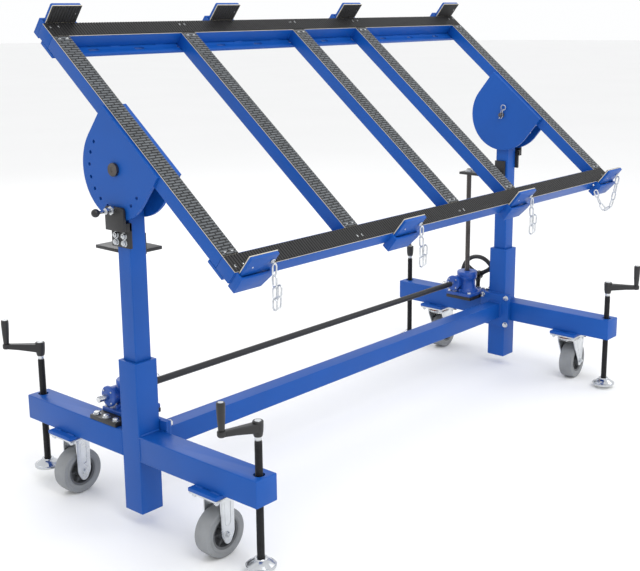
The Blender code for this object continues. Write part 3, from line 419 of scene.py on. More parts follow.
def wheel_centre():
    shapes = [turned([(0.0355, -0.0205), (0.0415, -0.0222), (0.0415, 0.0222), (0.0355, 0.0205),
                      (0.0345, 0.0060), (0.0170, 0.0045), (0.0160, 0.0262), (0.0150, 0.0270),
                      (0.0062, 0.0270), (0.0062, -0.0270), (0.0150, -0.0270), (0.0160, -0.0262),
                      (0.0170, -0.0045), (0.0345, -0.0060)], 48)]
    for spoke in range(6):
        shapes.append(moved(slab((0.013, -0.0018, -0.0165), (0.0360, 0.0018, 0.0165), 0.0008),
                            turn(spoke * 60.0, "Z")))
    return shapes


def flat_plate(outline, low, high, soft=0.0008):
    """A plate cut to an outline in XZ, between two limits on Y."""
    shape = bmesh.new()
    face = shape.faces.new([shape.verts.new((a, low, b)) for a, b in outline])
    raised = bmesh.ops.extrude_face_region(shape, geom=[face])["geom"]
    bmesh.ops.translate(shape, vec=(0, high - low, 0),
                        verts=[item for item in raised if isinstance(item, bmesh.types.BMVert)])
    bmesh.ops.recalc_face_normals(shape, faces=shape.faces)
    return eased(shape, soft, 2, over=50.0)


def arc(centre, radius, start, end, steps):
    return [(centre[0] + radius * math.cos(math.radians(start + (end - start) * step / steps)),
             centre[1] + radius * math.sin(math.radians(start + (end - start) * step / steps)))
            for step in range(steps + 1)]


def axle(trail):
    """The axle bolt with its head, nut and washers outside the fork."""
    shapes = [moved(round_bar(0.0058, -0.036, 0.036), turn(90, "X"), shift(trail, 0, axle_z))]
    for face in (-1, 1):
        outward = facing((0, face, 0), (trail, face * fork_outer, axle_z))
        shapes += [moved(washer(0.004, 0.0095, 0.0012), outward),
                   moved(hexagon(0.0080, 0.0050), shift(0, 0, 0.001), outward)]
    shapes.append(moved(round_bar(0.0048, 0.0, 0.0088), facing((0, -1, 0), (trail, -fork_outer, axle_z))))
    return shapes


def top_plate():
    """The castor's mounting plate with four bolts through the adapter above it."""
    shapes = [slab((-0.0525, -0.049, plate_low), (0.0525, 0.049, plate_top - 0.0003), 0.0012)]
    for x in (-0.042, 0.042):
        for y in (-0.039, 0.039):
            shapes += [moved(washer(0.003, 0.0085, 0.0013, -0.0013), shift(x, y, plate_low)),
                       moved(hexagon(0.0072, 0.0055), turn(180, "X"), shift(x, y, plate_low - 0.001)),
                       moved(round_bar(0.0038, -0.0100, 0.0, 16), shift(x, y, plate_low))]
    return shapes


for end_name, end in ENDS.items():
    y = stand_y + end * castor_y
    left = shift(-column_x, y, 0)
    leg_outline = [(-0.022, plate_low + 0.001), (-0.0215, 0.070), (-0.0195, 0.062),
                   *arc((0, 0.0525), 0.0125, 205, 335, 8), (0.0195, 0.062), (0.0215, 0.070),
                   (0.022, plate_low + 0.001)]
    rib = [(-0.0095, fork_outer, 0.150), (-0.0095, fork_outer, 0.098),
           *[(a, fork_outer, b) for a, b in arc((0, 0.098), 0.0095, 180, 360, 8)][1:-1],
           (0.0095, fork_outer, 0.098), (0.0095, fork_outer, 0.150)]
    fork = [*top_plate()]
    for face in (-1, 1):
        fork.append(flat_plate(leg_outline, face * fork_inner, face * fork_outer))
        fork.append(swept([(a, face * b, c) for a, b, c in rib], 0.0011, roundness=2))
    piece(f"rigid_castor_fork_{end_name}", fork, zinc, "base", [f"rigid_fork_{end_name}"],
          left)
    piece(f"rigid_castor_axle_{end_name}", axle(0.0), zinc, "base", (), left)
    upright = turn(90, "X")
    wheel_place = left @ shift(0, 0, axle_z) @ upright
    piece(f"tyre_left_{end_name}", [tyre()], tyre_rubber, f"wheel_left_{end_name}",
          [f"wheel_left_{end_name}"], wheel_place)
    piece(f"wheel_centre_left_{end_name}", wheel_centre(), centre_nylon, f"wheel_left_{end_name}",
          (), wheel_place)

    trail = 0.035
    right = shift(column_x, y, 0)
    swung = right @ turn(6.6, "Z")
    crown_top, crown_low = 0.1605, 0.1525
    piece(f"swivel_castor_plate_{end_name}",
          [*top_plate(), turned([(0, crown_top + 0.0004), (0.024, crown_top + 0.0004),
                                 (0.0255, crown_top + 0.002), (0.0255, plate_low + 0.0005),
                                 (0, plate_low + 0.0005)])], zinc, "base", (), right)
    piece(f"raceway_seal_{end_name}",
          [turned([(0.0262, crown_top + 0.0012), (0.0350, crown_top + 0.0012), (0.0365, crown_top + 0.0026),
                   (0.0365, crown_top + 0.0058), (0.0262, crown_top + 0.0068)], 48)],
          seal_orange, "base", (), right)
    teeth = [moved(slab((0.0345, -0.0016, crown_top - 0.0062), (0.0405, 0.0016, crown_top - 0.0002), 0.0004,
                        1), turn(step * 15.0, "Z")) for step in range(24)]
    leg_outline = [(-0.030, crown_top - 0.002), (-0.024, crown_low - 0.012), (0.021, 0.062),
                   *arc((trail, 0.060), 0.0145, 205, 335, 8), (0.062, 0.128), (0.062, crown_top - 0.002)]
    fork = [turned([(0.0085, crown_low), (0.036, crown_low), (0.0385, crown_low + 0.002),
                    (0.0375, crown_top - 0.0012), (0.0350, crown_top), (0.0085, crown_top)], 48),
            slab((-0.030, -fork_outer, crown_low + 0.001), (0.0615, fork_outer, crown_top - 0.0015),
                 0.0018), *teeth]
    rib = [(0.004, crown_low - 0.016), (0.028, 0.086), *arc((trail, 0.084), 0.0075, 180, 350, 8)[1:],
           (0.050, 0.130)]
    for face in (-1, 1):
        fork.append(flat_plate(leg_outline, face * fork_inner, face * fork_outer))
        fork.append(swept([(a, face * fork_outer, b) for a, b in rib], 0.0011, roundness=2))
    piece(f"swivel_castor_fork_{end_name}", fork, zinc, f"swivel_{end_name}",
          [f"swivel_fork_{end_name}"], swung)
    piece(f"swivel_castor_axle_{end_name}", axle(trail), zinc, f"swivel_{end_name}", (),
          swung)
    wheel_place = swung @ shift(trail, 0, axle_z) @ upright
    piece(f"tyre_right_{end_name}", [tyre()], tyre_rubber, f"wheel_right_{end_name}",
          [f"wheel_right_{end_name}"], wheel_place)
    piece(f"wheel_centre_right_{end_name}", wheel_centre(), centre_nylon, f"wheel_right_{end_name}",
          (), wheel_place)

    hinge_x, hinge_z = 0.054, 0.1465
    pedal_outline = [(hinge_x + 0.030, hinge_z + 0.0020), (hinge_x + 0.046, hinge_z - 0.0060),
                     (hinge_x + 0.0555, hinge_z - 0.0125), (hinge_x + 0.0525, hinge_z - 0.0150),
                     (hinge_x + 0.040, hinge_z - 0.0070), (hinge_x + 0.029, hinge_z - 0.0022)]
    arm_outline = [(hinge_x - 0.004, hinge_z + 0.0024), (hinge_x + 0.0305, hinge_z + 0.0022),
                   (hinge_x + 0.0305, hinge_z - 0.0022), (hinge_x - 0.004, hinge_z - 0.0024)]
    piece(f"brake_pedal_tread_{end_name}",
          [flat_plate(pedal_outline, -0.023, 0.023, 0.0010),
           *[slab((hinge_x + 0.033 + step * 0.004, -0.020, hinge_z - 0.0006 - step * 0.0022),
                  (hinge_x + 0.035 + step * 0.004, 0.020, hinge_z + 0.0012 - step * 0.0020), 0.0004, 1)
             for step in range(3)]],
          black_plastic, f"brake_pedal_{end_name}", [f"brake_pedal_{end_name}"], swung)
    piece(f"brake_pedal_arm_{end_name}",
          [flat_plate(arm_outline, -0.0235, 0.0235, 0.0006),
           moved(round_bar(0.0038, -0.0345, 0.0345), turn(90, "X"), shift(hinge_x, 0, hinge_z))],
          zinc, f"brake_pedal_{end_name}", (), swung)

# --- Levelling screws ---
# Black trapezoidal screws with plated collars and fluted bell feet, each wound by a black cast crank
# with a revolving grip. They pass through clearance holes in the arms.
black_oxide = coating("black_oxide_steel", (0.020, 0.020, 0.022), 0.38, metallic=0.6, tone=0.25, cloud=35.0,
                      grain=700.0, bump=0.12)
black_paint = coating("satin_black_paint", (0.016, 0.016, 0.017), 0.42, tone=0.20, cloud=16.0, grain=1100.0,
                      bump=0.10, shine=0.45)
chrome = coating("polished_plate", (0.56, 0.58, 0.61), 0.16, metallic=1.0, tone=0.05, cloud=30.0,
                 grain=300.0, bump=0.03)


def threaded(radius, start, end, pitch, depth, steps=24):
    """A screw's length, with a ridge for each turn of its thread."""
    profile = [(0, start), (radius - depth, start)]
    for ridge in range(int((end - start) / pitch)):
        low = start + ridge * pitch
        profile += [(radius - depth, low + pitch * 0.10), (radius, low + pitch * 0.30),
                    (radius, low + pitch * 0.70), (radius - depth, low + pitch * 0.90)]
    return turned(profile + [(radius - depth, end), (0, end)], steps)


clear_sole = coating("clear_sole", (0.62, 0.64, 0.64), 0.35, tone=0.05, cloud=20.0)
levellers = {"left_front": 164.0, "left_rear": 131.0, "right_front": -66.0, "right_rear": 40.5}
for name, angle in levellers.items():
    foot_low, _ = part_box(f"foot_{name}")
    side, end = SIDES[name.split("_")[0]], ENDS[name.split("_")[1]]
    base = shift(side * column_x, stand_y + end * leveller_y, foot_low.z)
    swung = base @ turn(angle, "Z")
    bell = bmesh.new()
    bmesh.ops.create_cone(bell, cap_ends=True, segments=12, radius1=0.0365, radius2=0.0165, depth=0.0135)
    bmesh.ops.translate(bell, vec=(0, 0, 0.0070 + 0.00675), verts=bell.verts)
    piece(f"foot_bell_{name}",
          [eased(bell, 0.0010, 2, over=12.0), washer(0.0110, 0.0168, 0.0045, 0.0195),
           turned([(0, 0.0024), (0.0372, 0.0024), (0.0378, 0.0034), (0.0376, 0.0066), (0.0355, 0.0080),
                   (0, 0.0080)], 60)],
          chrome, f"foot_{name}", [f"foot_{name}"], base, crease=20.0)
    piece(f"foot_sole_{name}", [turned([(0, 0), (0.0368, 0), (0.0376, 0.0010), (0.0376, 0.0026),
                                        (0, 0.0026)], 60)], clear_sole, f"foot_{name}", (),
          base)
    height = 0.373
    hub_low, arm_top = height - 0.040, height - 0.006
    piece(f"levelling_screw_{name}", [threaded(0.0095, 0.0112, hub_low - 0.010, 0.003, 0.0009)],
          black_oxide, f"crank_{name}", [f"crank_{name}"], base)
    piece(f"crank_collar_{name}",
          [turned([(0, hub_low - 0.0105), (0.0072, hub_low - 0.0105), (0.0072, hub_low - 0.0085),
                   (0.0086, hub_low - 0.0075), (0.0086, hub_low), (0, hub_low)], 32),
           round_bar(0.0082, height - 0.002, height + 0.0002, 32)],
          zinc, f"crank_{name}", (), base)
    reach = 0.095
    arm = bmesh.new()
    stations = ((0.000, 0.0128, 0.0240), (0.018, 0.0112, 0.0215), (0.060, 0.0088, 0.0165),
                (0.095, 0.0080, 0.0140))
    rings = []
    for station, half_width, depth in stations:
        rings.append([arm.verts.new(corner) for corner in (
            (station, -half_width, arm_top - depth), (station, half_width, arm_top - depth),
            (station, half_width, arm_top), (station, -half_width, arm_top))])
    for ring in (rings[0], rings[-1]):
        arm.faces.new(ring)
    for one, two in zip(rings, rings[1:]):
        for index in range(4):
            arm.faces.new((one[index], one[(index + 1) % 4], two[(index + 1) % 4], two[index]))
    bmesh.ops.recalc_face_normals(arm, faces=arm.faces)
    piece(f"crank_arm_{name}", [eased(arm, 0.0028, 3, over=25.0),
                                turned([(0, hub_low), (0.0098, hub_low), (0.0112, hub_low + 0.003),
                                        (0.0128, hub_low + 0.014), (0.0134, hub_low + 0.028),
                                        (0.0134, height - 0.0025), (0.0118, height - 0.0006),
                                        (0, height - 0.0006)], 40),
                                moved(turned([(0, arm_top - 0.014), (0.0085, arm_top - 0.014),
                                              (0.0105, arm_top - 0.011), (0.0105, arm_top - 0.002),
                                              (0.0095, arm_top), (0, arm_top)], 36), shift(reach, 0, 0))],
          black_paint, f"crank_{name}", (), swung)
    grip_base = arm_top + 0.0006
    piece(f"crank_grip_{name}", [moved(turned([(0, grip_base), (0.0070, grip_base),
                                               (0.0078, grip_base + 0.003), (0.0096, grip_base + 0.030),
                                               (0.0107, grip_base + 0.058), (0.0105, grip_base + 0.0665),
                                               (0.0092, grip_base + 0.0692), (0, grip_base + 0.0692)], 36),
                                       shift(reach, 0, 0))], black_plastic, f"grip_{name}",
          [f"grip_{name}"], swung)
    piece(f"grip_cap_{name}",
          [moved(washer(0.0026, 0.0066, 0.0008, grip_base + 0.0688), shift(reach, 0, 0)),
           moved(round_bar(0.0030, grip_base + 0.060, grip_base + 0.0694), shift(reach, 0, 0))],
          zinc, f"grip_{name}", (), swung)

# --- Screw jacks ---
# Two cast worm-gear screw jacks, enamelled blue, stand on black steel plates bolted to the rear arms.
# Each housing is a flared drum with a grooved cap and a round boss for the worm's bearing at each end.
jack_enamel = coating("blue_jack_enamel", (0.012, 0.075, 0.36), 0.30, tone=0.10, cloud=22.0, grain=260.0,
                      bump=0.22, shine=0.45)
screw_y, screw_inset = 0.116, 0.063
jack_x = column_x - screw_inset
jack_plate_low, jack_plate_top = 0.2548, 0.2668
shaft_y, shaft_z = 0.142, 0.3108
for side_name, side in SIDES.items():
    at = shift(side * jack_x, stand_y + screw_y, 0)
    inner = -side * 0.0575
    outer = inner + side * 0.155
    piece(f"jack_plate_{side_name}",
          [slab((inner, -0.054, jack_plate_low), (outer, 0.054, jack_plate_top), 0.0014)],
          black_paint, "base", (), at)
    bolts = []
    for y in (-0.040, 0.0, 0.040):
        place = shift(outer - side * 0.014, y, jack_plate_top)
        bolts += [moved(hexagon(0.0088, 0.0064), shift(0, 0, 0.0014), place),
                  moved(washer(0.004, 0.0105, 0.0014), place)]
    foot_top = jack_plate_top + 0.012
    for x in (-0.047, 0.047):
        for y in (-0.043, 0.043):
            bolts += [moved(washer(0.003, 0.0078, 0.0012), shift(x, y, foot_top)),
                      moved(hexagon(0.0068, 0.0050), shift(x, y, foot_top + 0.0010))]
    piece(f"jack_bolts_{side_name}", bolts, zinc, "base", (), at)
    cap_top = jack_plate_top + 0.088
    worm = shift(0, shaft_y - screw_y, shaft_z) @ turn(90, "Y")
    screws = []
    for face in (-1, 1):
        for step in range(4):
            angle = math.radians(45 + 90 * step)
            spot = (face * 0.0572, shaft_y - screw_y + 0.0215 * math.cos(angle),
                    shaft_z + 0.0215 * math.sin(angle))
            screws.append(moved(round_bar(0.0026, 0, 0.0022, 12), facing((face, 0, 0), spot)))
    housing = [eased(slab((-0.0575, -0.053, jack_plate_top - 0.0005), (0.0575, 0.053, foot_top), 0.0),
                     0.0030, 3), turned([(0, foot_top - 0.001), (0.046, foot_top - 0.001),
                                         (0.0405, foot_top + 0.004), (0.0345, foot_top + 0.012),
                                         (0.0318, foot_top + 0.024), (0.0316, cap_top - 0.038),
                                         (0.0340, cap_top - 0.031), (0.0372, cap_top - 0.026),
                                         (0.0375, cap_top - 0.019), (0.0352, cap_top - 0.0175),
                                         (0.0352, cap_top - 0.0150), (0.0375, cap_top - 0.0135),
                                         (0.0375, cap_top - 0.004), (0.0350, cap_top - 0.0012),
                                         (0.0190, cap_top - 0.0012), (0.0180, cap_top), (0.0125, cap_top),
                                         (0.0118, cap_top - 0.004), (0.0116, cap_top - 0.060),
                                         (0, cap_top - 0.060)], 64),
               moved(turned([(0, -0.0580), (0.0095, -0.0580), (0.0110, -0.0572), (0.0255, -0.0572),
                             (0.0285, -0.0550), (0.0290, -0.0500), (0.0270, -0.0480), (0.0245, -0.0460),
                             (0.0245, 0.0460), (0.0270, 0.0480), (0.0290, 0.0500), (0.0285, 0.0550),
                             (0.0255, 0.0572), (0.0110, 0.0572), (0.0095, 0.0580), (0, 0.0580)], 56), worm)]
    for face in (-1, 1):
        housing.append(slab((face * 0.020, -0.004, foot_top - 0.001),
                            (face * 0.050, 0.004, foot_top + 0.012), 0.002))
        housing.append(slab((-0.004, face * 0.020, foot_top - 0.001),
                            (0.004, face * 0.047, foot_top + 0.012), 0.002))
    piece(f"jack_housing_{side_name}", housing, jack_enamel, "base",
          [f"screw_jack_{side_name}"], at)
    piece(f"jack_cover_screws_{side_name}", screws, zinc, "base", (), at)

bronze = coating("worm_wheel_bronze", (0.50, 0.31, 0.13), 0.32, metallic=1.0, tone=0.12, cloud=40.0)
for side_name in SIDES:
    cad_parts[f"worm_wheel_{side_name}"].data.materials.clear()
    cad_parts[f"worm_wheel_{side_name}"].data.materials.append(bronze)

# --- Drive shafts and handwheel ---
# One black tube joins the jacks' worm shafts, pinned at each end with a hairpin clip. The left worm shaft
# ends in a bare keyed stub; the right one runs past the column to a black spoked handwheel.
steel = coating("ground_steel", (0.66, 0.67, 0.68), 0.24, metallic=1.0, tone=0.08, cloud=40.0, grain=500.0,
                bump=0.08)
drive_at = shift(0, stand_y + shaft_y, shaft_z)
along_x = drive_at @ turn(90, "Y")
shaft_end = 0.728


def hairpin(length, width, wire=0.0011):
    """A hairpin clip lying in XZ: a round eye, a straight leg and a waved leg."""
    eye = [(length + width * 0.5 * math.cos(a), width * 0.5 * math.sin(a))
           for a in (math.radians(150 - step * 20) for step in range(16))]
    straight = [(0.0, 0.0)] + [(length * step / 6, -width * 0.28 * step / 6) for step in range(1, 6)]
    waved = [(length * (1 - step / 12), width * (0.28 - 0.20 * math.sin(step / 12 * math.pi * 2)))
             for step in range(1, 12)]
    path = [*reversed(waved), *eye, *reversed(straight)]
    return swept([(a, 0.0, b) for a, b in path], wire, roundness=2)


piece("drive_tube",
      [turned([(0.0084, -shaft_end), (0.0095, -shaft_end), (0.0100, -shaft_end + 0.0005),
               (0.0100, shaft_end - 0.0005), (0.0095, shaft_end), (0.0084, shaft_end)], 40)],
      black_paint, "drive_shaft", ["connecting_shaft"], along_x)
clips = []
for side in SIDES.values():
    at = side * (shaft_end - 0.014)
    clips.append(moved(round_bar(0.0024, -0.0135, 0.0135, 16), shift(at, 0, 0)))
    clips.append(moved(hairpin(0.030, 0.014), turn(180 if side > 0 else 0, "Z"),
                       shift(at + side * 0.002, 0, 0.0125)))
piece("drive_clips", clips, zinc, "drive_shaft", (), drive_at)
stub_low = -(jack_x + 0.058 + 0.031)
key_way = slab((stub_low - 0.002, -0.0022, 0.0058), (stub_low + 0.024, 0.0022, 0.012), 0.0)
stub = moved(turned([(0, stub_low), (0.0070, stub_low), (0.0080, stub_low + 0.001), (0.0080, -0.702),
                     (0.0074, -0.7005), (0, -0.7005)], 40), turn(90, "Y"))
piece("worm_shaft_stub", [cut_by(stub, [key_way]),
                          slab((stub_low + 0.003, -0.0020, 0.0052), (stub_low + 0.022, 0.0020, 0.0096),
                               0.0004)], steel, "drive_shaft", ["worm_shaft_left"],
      drive_at)
wheel_x = column_x + 0.052
piece("worm_shaft_right", [moved(turned([(0, 0.7005), (0.0074, 0.7005), (0.0080, 0.702),
                                         (0.0080, wheel_x + 0.011), (0.0070, wheel_x + 0.0125),
                                         (0, wheel_x + 0.0125)], 40), turn(90, "Y"))], steel, "drive_shaft",
      (), drive_at)
rim_profile = [(0.072 + 0.0080 * math.cos(math.radians(a)), 0.0080 * math.sin(math.radians(a)))
               for a in range(0, 360, 24)]
wheel_shapes = [turned(rim_profile, 72),
                turned([(0.0085, -0.0105), (0.0150, -0.0105), (0.0165, -0.009), (0.0165, 0.009),
                        (0.0150, 0.0105), (0.0085, 0.0105)], 40)]
for spoke in range(3):
    outline = [(-0.0105, 0.0125), (-0.0078, 0.030), (-0.0082, 0.052), (-0.0125, 0.0690), (0.0125, 0.0690),
               (0.0082, 0.052), (0.0078, 0.030), (0.0105, 0.0125)]
    wheel_shapes.append(moved(flat_plate(outline, -0.0032, 0.0032, 0.0014), turn(90, "X"),
                              turn(spoke * 120.0 + 90.0, "Z")))
piece("handwheel", wheel_shapes, black_paint, "drive_shaft", ["handwheel_worm_shaft"],
      drive_at @ shift(wheel_x, 0, 0) @ turn(90, "Y"))

# --- Inner posts, lift plates and lifting screws ---
# The 50 mm inner posts slide in the columns. A black plate welded on each carries the top end of its
# lifting screw, whose thread is dark with oil and held by a nut on top of the plate.
oiled_steel = coating("oiled_screw_steel", (0.105, 0.095, 0.090), 0.34, metallic=0.9, tone=0.25, cloud=30.0,
                      grain=600.0, bump=0.12)
post_half = 0.025
pivot_z = 0.9433
screw_top = pivot_z - 0.203
lift_top = screw_top - 0.009
lift_low = lift_top - 0.009
for side_name, side in SIDES.items():
    x = side * column_x
    post_low, post_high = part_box(f"inner_post_{side_name}")
    pin_hole = moved(round_bar(0.0103, -0.04, 0.04, 40), turn(90, "Y"), shift(x, stand_y, pivot_z))
    post = square_tube((x - post_half, stand_y - post_half, post_low.z),
                       (x + post_half, stand_y + post_half, post_high.z), "Z", 0.0026)
    piece(f"inner_post_tube_{side_name}", [cut_by(post, [pin_hole])], blue, "carriage",
          [f"inner_post_{side_name}"])
    tab_outer = column_x - post_half - 0.0003
    inner = jack_x - 0.030
    bed = slab((side * inner, stand_y - 0.005, lift_low),
               (side * (inner + 0.100), stand_y + 0.140, lift_top), 0.0)
    slot_for_post = slab((side * tab_outer, stand_y - post_half - 0.02, lift_low - 0.01),
                         (side * (column_x + post_half + 0.0003), stand_y + post_half + 0.0003,
                          lift_top + 0.01), 0.0)
    screw_hole = moved(round_bar(0.0094, lift_low - 0.02, lift_top + 0.02, 32),
                       shift(side * jack_x, stand_y + screw_y, 0))
    piece(f"lift_plate_bed_{side_name}",
          [eased(cut_by(bed, [slot_for_post, screw_hole]), 0.0009, 2),
           slab((side * tab_outer, stand_y - post_half + 0.008, lift_low),
                (side * (tab_outer - 0.008), stand_y + post_half, lift_low + 0.054), 0.0012),
           weld([(side * (tab_outer - 0.0082), stand_y - 0.004, lift_top + 0.0004),
                 (side * (tab_outer - 0.0082), stand_y + post_half, lift_top + 0.0004)], 0.0026)],
          black_paint, "carriage", [f"lift_plate_{side_name}"])
    at = shift(side * jack_x, stand_y + screw_y, 0)
    piece(f"lifting_screw_{side_name}", [threaded(0.0090, screw_top - 0.500, lift_top + 0.0100, 0.004,
                                                  0.0011)], oiled_steel, "carriage",
          [f"lift_screw_{side_name}"], at)
    piece(f"lift_nut_{side_name}", [moved(hexagon(0.0132, 0.0070), shift(0, 0, lift_top + 0.0004)),
                                    washer(0.0094, 0.0150, 0.0014, lift_top)], zinc, "carriage",
          (), at)

# --- Index brackets, plungers and pivot pins ---
# A cranked black bracket bolted on each post holds a spring plunger with a ball knob, which drops into
# the holes of the outer index plate. The table turns on dark steel pins through the tops of the posts.
plate_face = 0.904
index_circle, index_low = 0.1003, 0.127
plunger_y = index_circle * math.cos(math.radians(-87.35))
plunger_z = pivot_z + index_circle * math.sin(math.radians(-87.35))
bracket_back, bracket_front = plate_face + 0.002, plate_face + 0.010
for side_name, side in SIDES.items():
    foot_top = pivot_z - index_low - 0.004
    back = column_x + post_half + 0.0003
    upper = slab((side * bracket_back, stand_y - 0.036, foot_top - 0.021),
                 (side * bracket_front, stand_y + 0.036, plunger_z + 0.009), 0.0)
    corners = [edge for edge in upper.edges
               if abs(edge.verts[0].co.x - edge.verts[1].co.x) > 0.001 and edge.verts[0].co.z > foot_top]
    bmesh.ops.bevel(upper, geom=corners, offset=0.010, segments=4, affect="EDGES", profile=0.5, material=-1)
    piece(f"index_bracket_plates_{side_name}",
          [eased(upper, 0.0010, 2, over=50.0),
           slab((side * back, stand_y - 0.036, foot_top - 0.021),
                (side * bracket_back, stand_y + 0.036, foot_top), 0.0012),
           slab((side * back, stand_y - 0.036, foot_top - 0.065),
                (side * (back + 0.008), stand_y + 0.036, foot_top), 0.0012)],
          black_paint, "carriage", [f"index_bracket_{side_name}"])
    bolts = []
    for y in (-0.016, 0.016):
        for z in (foot_top - 0.052, foot_top - 0.034):
            place = facing((side, 0, 0), (side * (back + 0.008), stand_y + y, z))
            bolts += [moved(washer(0.004, 0.0092, 0.0014), place),
                      moved(hexagon(0.0076, 0.0060), shift(0, 0, 0.0012), place),
                      moved(round_bar(0.0040, 0.006, 0.0102, 16), place)]
    piece(f"index_bracket_bolts_{side_name}", bolts, zinc, "carriage")
    through = facing((side, 0, 0), (0, stand_y + plunger_y, plunger_z))
    piece(f"plunger_sleeve_{side_name}",
          [moved(threaded(0.0070, bracket_front - 0.001, bracket_front + 0.0205, 0.0015, 0.0006), through),
           moved(hexagon(0.0118, 0.0065), shift(0, 0, bracket_front), through),
           moved(round_bar(0.0080, bracket_front + 0.0145, bracket_front + 0.0220), through)],
          zinc, "carriage")
    tip = plate_face + 0.0008
    knob = tip + 0.060
    piece(f"plunger_knob_{side_name}",
          [moved(turned([(0, knob - 0.0112), (0.0048, knob - 0.0112), (0.0056, knob - 0.0088)]
                        + [(0.0105 * math.cos(math.radians(a)), knob + 0.0105 * math.sin(math.radians(a)))
                           for a in range(-56, 90, 8)] + [(0, knob + 0.0105)], 40), through)],
          black_plastic, f"index_plunger_{side_name}", [f"index_plunger_{side_name}"])
    piece(f"plunger_pin_{side_name}", [moved(turned([(0, tip), (0.0030, tip), (0.0039, tip + 0.0015),
                                                     (0.0039, knob - 0.010), (0, knob - 0.010)], 28),
                                             through)], steel, f"index_plunger_{side_name}")
    pin = facing((side, 0, 0), (0, stand_y, pivot_z))
    pin_end = 0.828 - 0.013
    piece(f"table_pivot_pin_{side_name}", [moved(turned([(0, pin_end), (0.0060, pin_end),
                                                         (0.0072, pin_end + 0.0015),
                                                         (0.0072, pin_end + 0.0115),
                                                         (0.0100, pin_end + 0.0128),
                                                         (0.0100, plate_face + 0.0003),
                                                         (0.0158, plate_face + 0.0003),
                                                         (0.0170, plate_face + 0.0013),
                                                         (0.0170, plate_face + 0.0080),
                                                         (0.0155, plate_face + 0.0100),
                                                         (0.0060, plate_face + 0.0100),
                                                         (0.0050, plate_face + 0.0085),
                                                         (0, plate_face + 0.0085)], 44), pin)], oiled_steel,
          "carriage", [f"pivot_pin_{side_name}"])
    piece(f"pivot_pin_clip_{side_name}",
          [moved(hairpin(0.044, 0.019, 0.0015), shift(-0.014, 0, 0), turn(-112, "Y"), turn(90, "Z"),
                 shift(side * (0.828 - 0.0075), stand_y, pivot_z))],
          zinc, "carriage")

# --- Table frame ---
# A welded frame of 50 by 38 mm tube with three cross bars. Half-round index plates hang from both side
# rails, and a slotted strip is stitch welded under each long rail.
tilt = shift(0, stand_y, pivot_z) @ turn(38.65, "X")
table_half, table_depth = 0.896, 0.870
pivot_from_edge, pivot_drop = 0.440, 0.102
pad_thickness, rail_height, rail_width = 0.004, 0.038, 0.050
rail_top = pivot_drop - pad_thickness
rail_low = rail_top - rail_height
front_edge, rear_edge = -pivot_from_edge, table_depth - pivot_from_edge
bar_centres = (-0.444, 0.012, 0.316)
stop_centres = {"left_outer": -0.840, "left_inner": -0.276, "right_inner": 0.286, "right_outer": 0.848}


def flat_across(outline, low, high, soft):
    """A plate cut to an outline in YZ, between two limits on X."""
    shape = bmesh.new()
    face = shape.faces.new([shape.verts.new((low, a, b)) for a, b in outline])
    raised = bmesh.ops.extrude_face_region(shape, geom=[face])["geom"]
    bmesh.ops.translate(shape, vec=(high - low, 0, 0),
                        verts=[item for item in raised if isinstance(item, bmesh.types.BMVert)])
    bmesh.ops.recalc_face_normals(shape, faces=shape.faces)
    return eased(shape, soft, 2, over=50.0) if soft else shape


for side_name, side in SIDES.items():
    outer_x, inner_x = side * table_half, side * (table_half - rail_width)
    rail = square_tube((outer_x, front_edge + rail_width + 0.0003, rail_low),
                       (inner_x, rear_edge - rail_width - 0.0003, rail_top), "Y", 0.0024)
    shoulder = pivot_drop - 0.008
    outline = [(-index_low, shoulder), *arc((0, 0), index_low, 180, 360, 72), (index_low, shoulder)]
    outer_plate = flat_across(outline, *sorted((side * (table_half - 0.0005), side * plate_face)), 0.0)
    holes = [moved(round_bar(0.0102, 0.80, 0.95, 40), turn(90 * side, "Y"))]
    for step in range(11):
        angle = math.radians(-90 + 18.0 * (step - 5))
        holes.append(moved(round_bar(0.0048, 0.88, 0.92, 24), turn(90 * side, "Y"),
                           shift(0, index_circle * math.cos(angle), index_circle * math.sin(angle))))
    inner_plate = flat_across(outline, *sorted((side * 0.836, side * 0.828)), 0.0)
    pin_hole = moved(round_bar(0.0102, 0.80, 0.95, 40), turn(90 * side, "Y"))
    beads = [weld([(side * (plate_face - 0.0006), y - 0.018, shoulder + 0.0004),
                   (side * (plate_face - 0.0006), y + 0.018, shoulder + 0.0004)], 0.0016)
             for y in (-0.095, 0, 0.095)]
    piece(f"side_rail_{side_name}", [rail, slab((side * 0.8355, -index_low, rail_low),
                                                (side * (0.846 + 0.0005), index_low, shoulder), 0.0008),
                                     *beads], blue, "table", [f"side_frame_{side_name}"],
          tilt)
    piece(f"index_plate_{side_name}", [eased(cut_by(outer_plate, holes), 0.0007, 2)], blue, "table",
          (), tilt, 20.0)
    piece(f"inner_pivot_plate_{side_name}", [eased(cut_by(inner_plate, [pin_hole]), 0.0007, 2)], blue,
          "table", (), tilt, 20.0)

for number, x in enumerate(bar_centres, start=1):
    run = (front_edge + rail_width + 0.0003, rear_edge - rail_width - 0.0003)
    bar = square_tube((x - 0.025, run[0], rail_low), (x + 0.025, run[1], rail_top), "Y", 0.0024)
    beads = []
    for y in run:
        beads += [weld([(x + face * 0.0252, y, rail_low + 0.004), (x + face * 0.0252, y, rail_top - 0.004)],
                       0.0022) for face in (-1, 1)]
        beads.append(weld([(x - 0.020, y, rail_low - 0.0002), (x + 0.020, y, rail_low - 0.0002)], 0.0022))
    piece(f"cross_bar_tube_{number}", [bar, *beads], blue, "table", [f"cross_bar_{number}"],
          tilt)

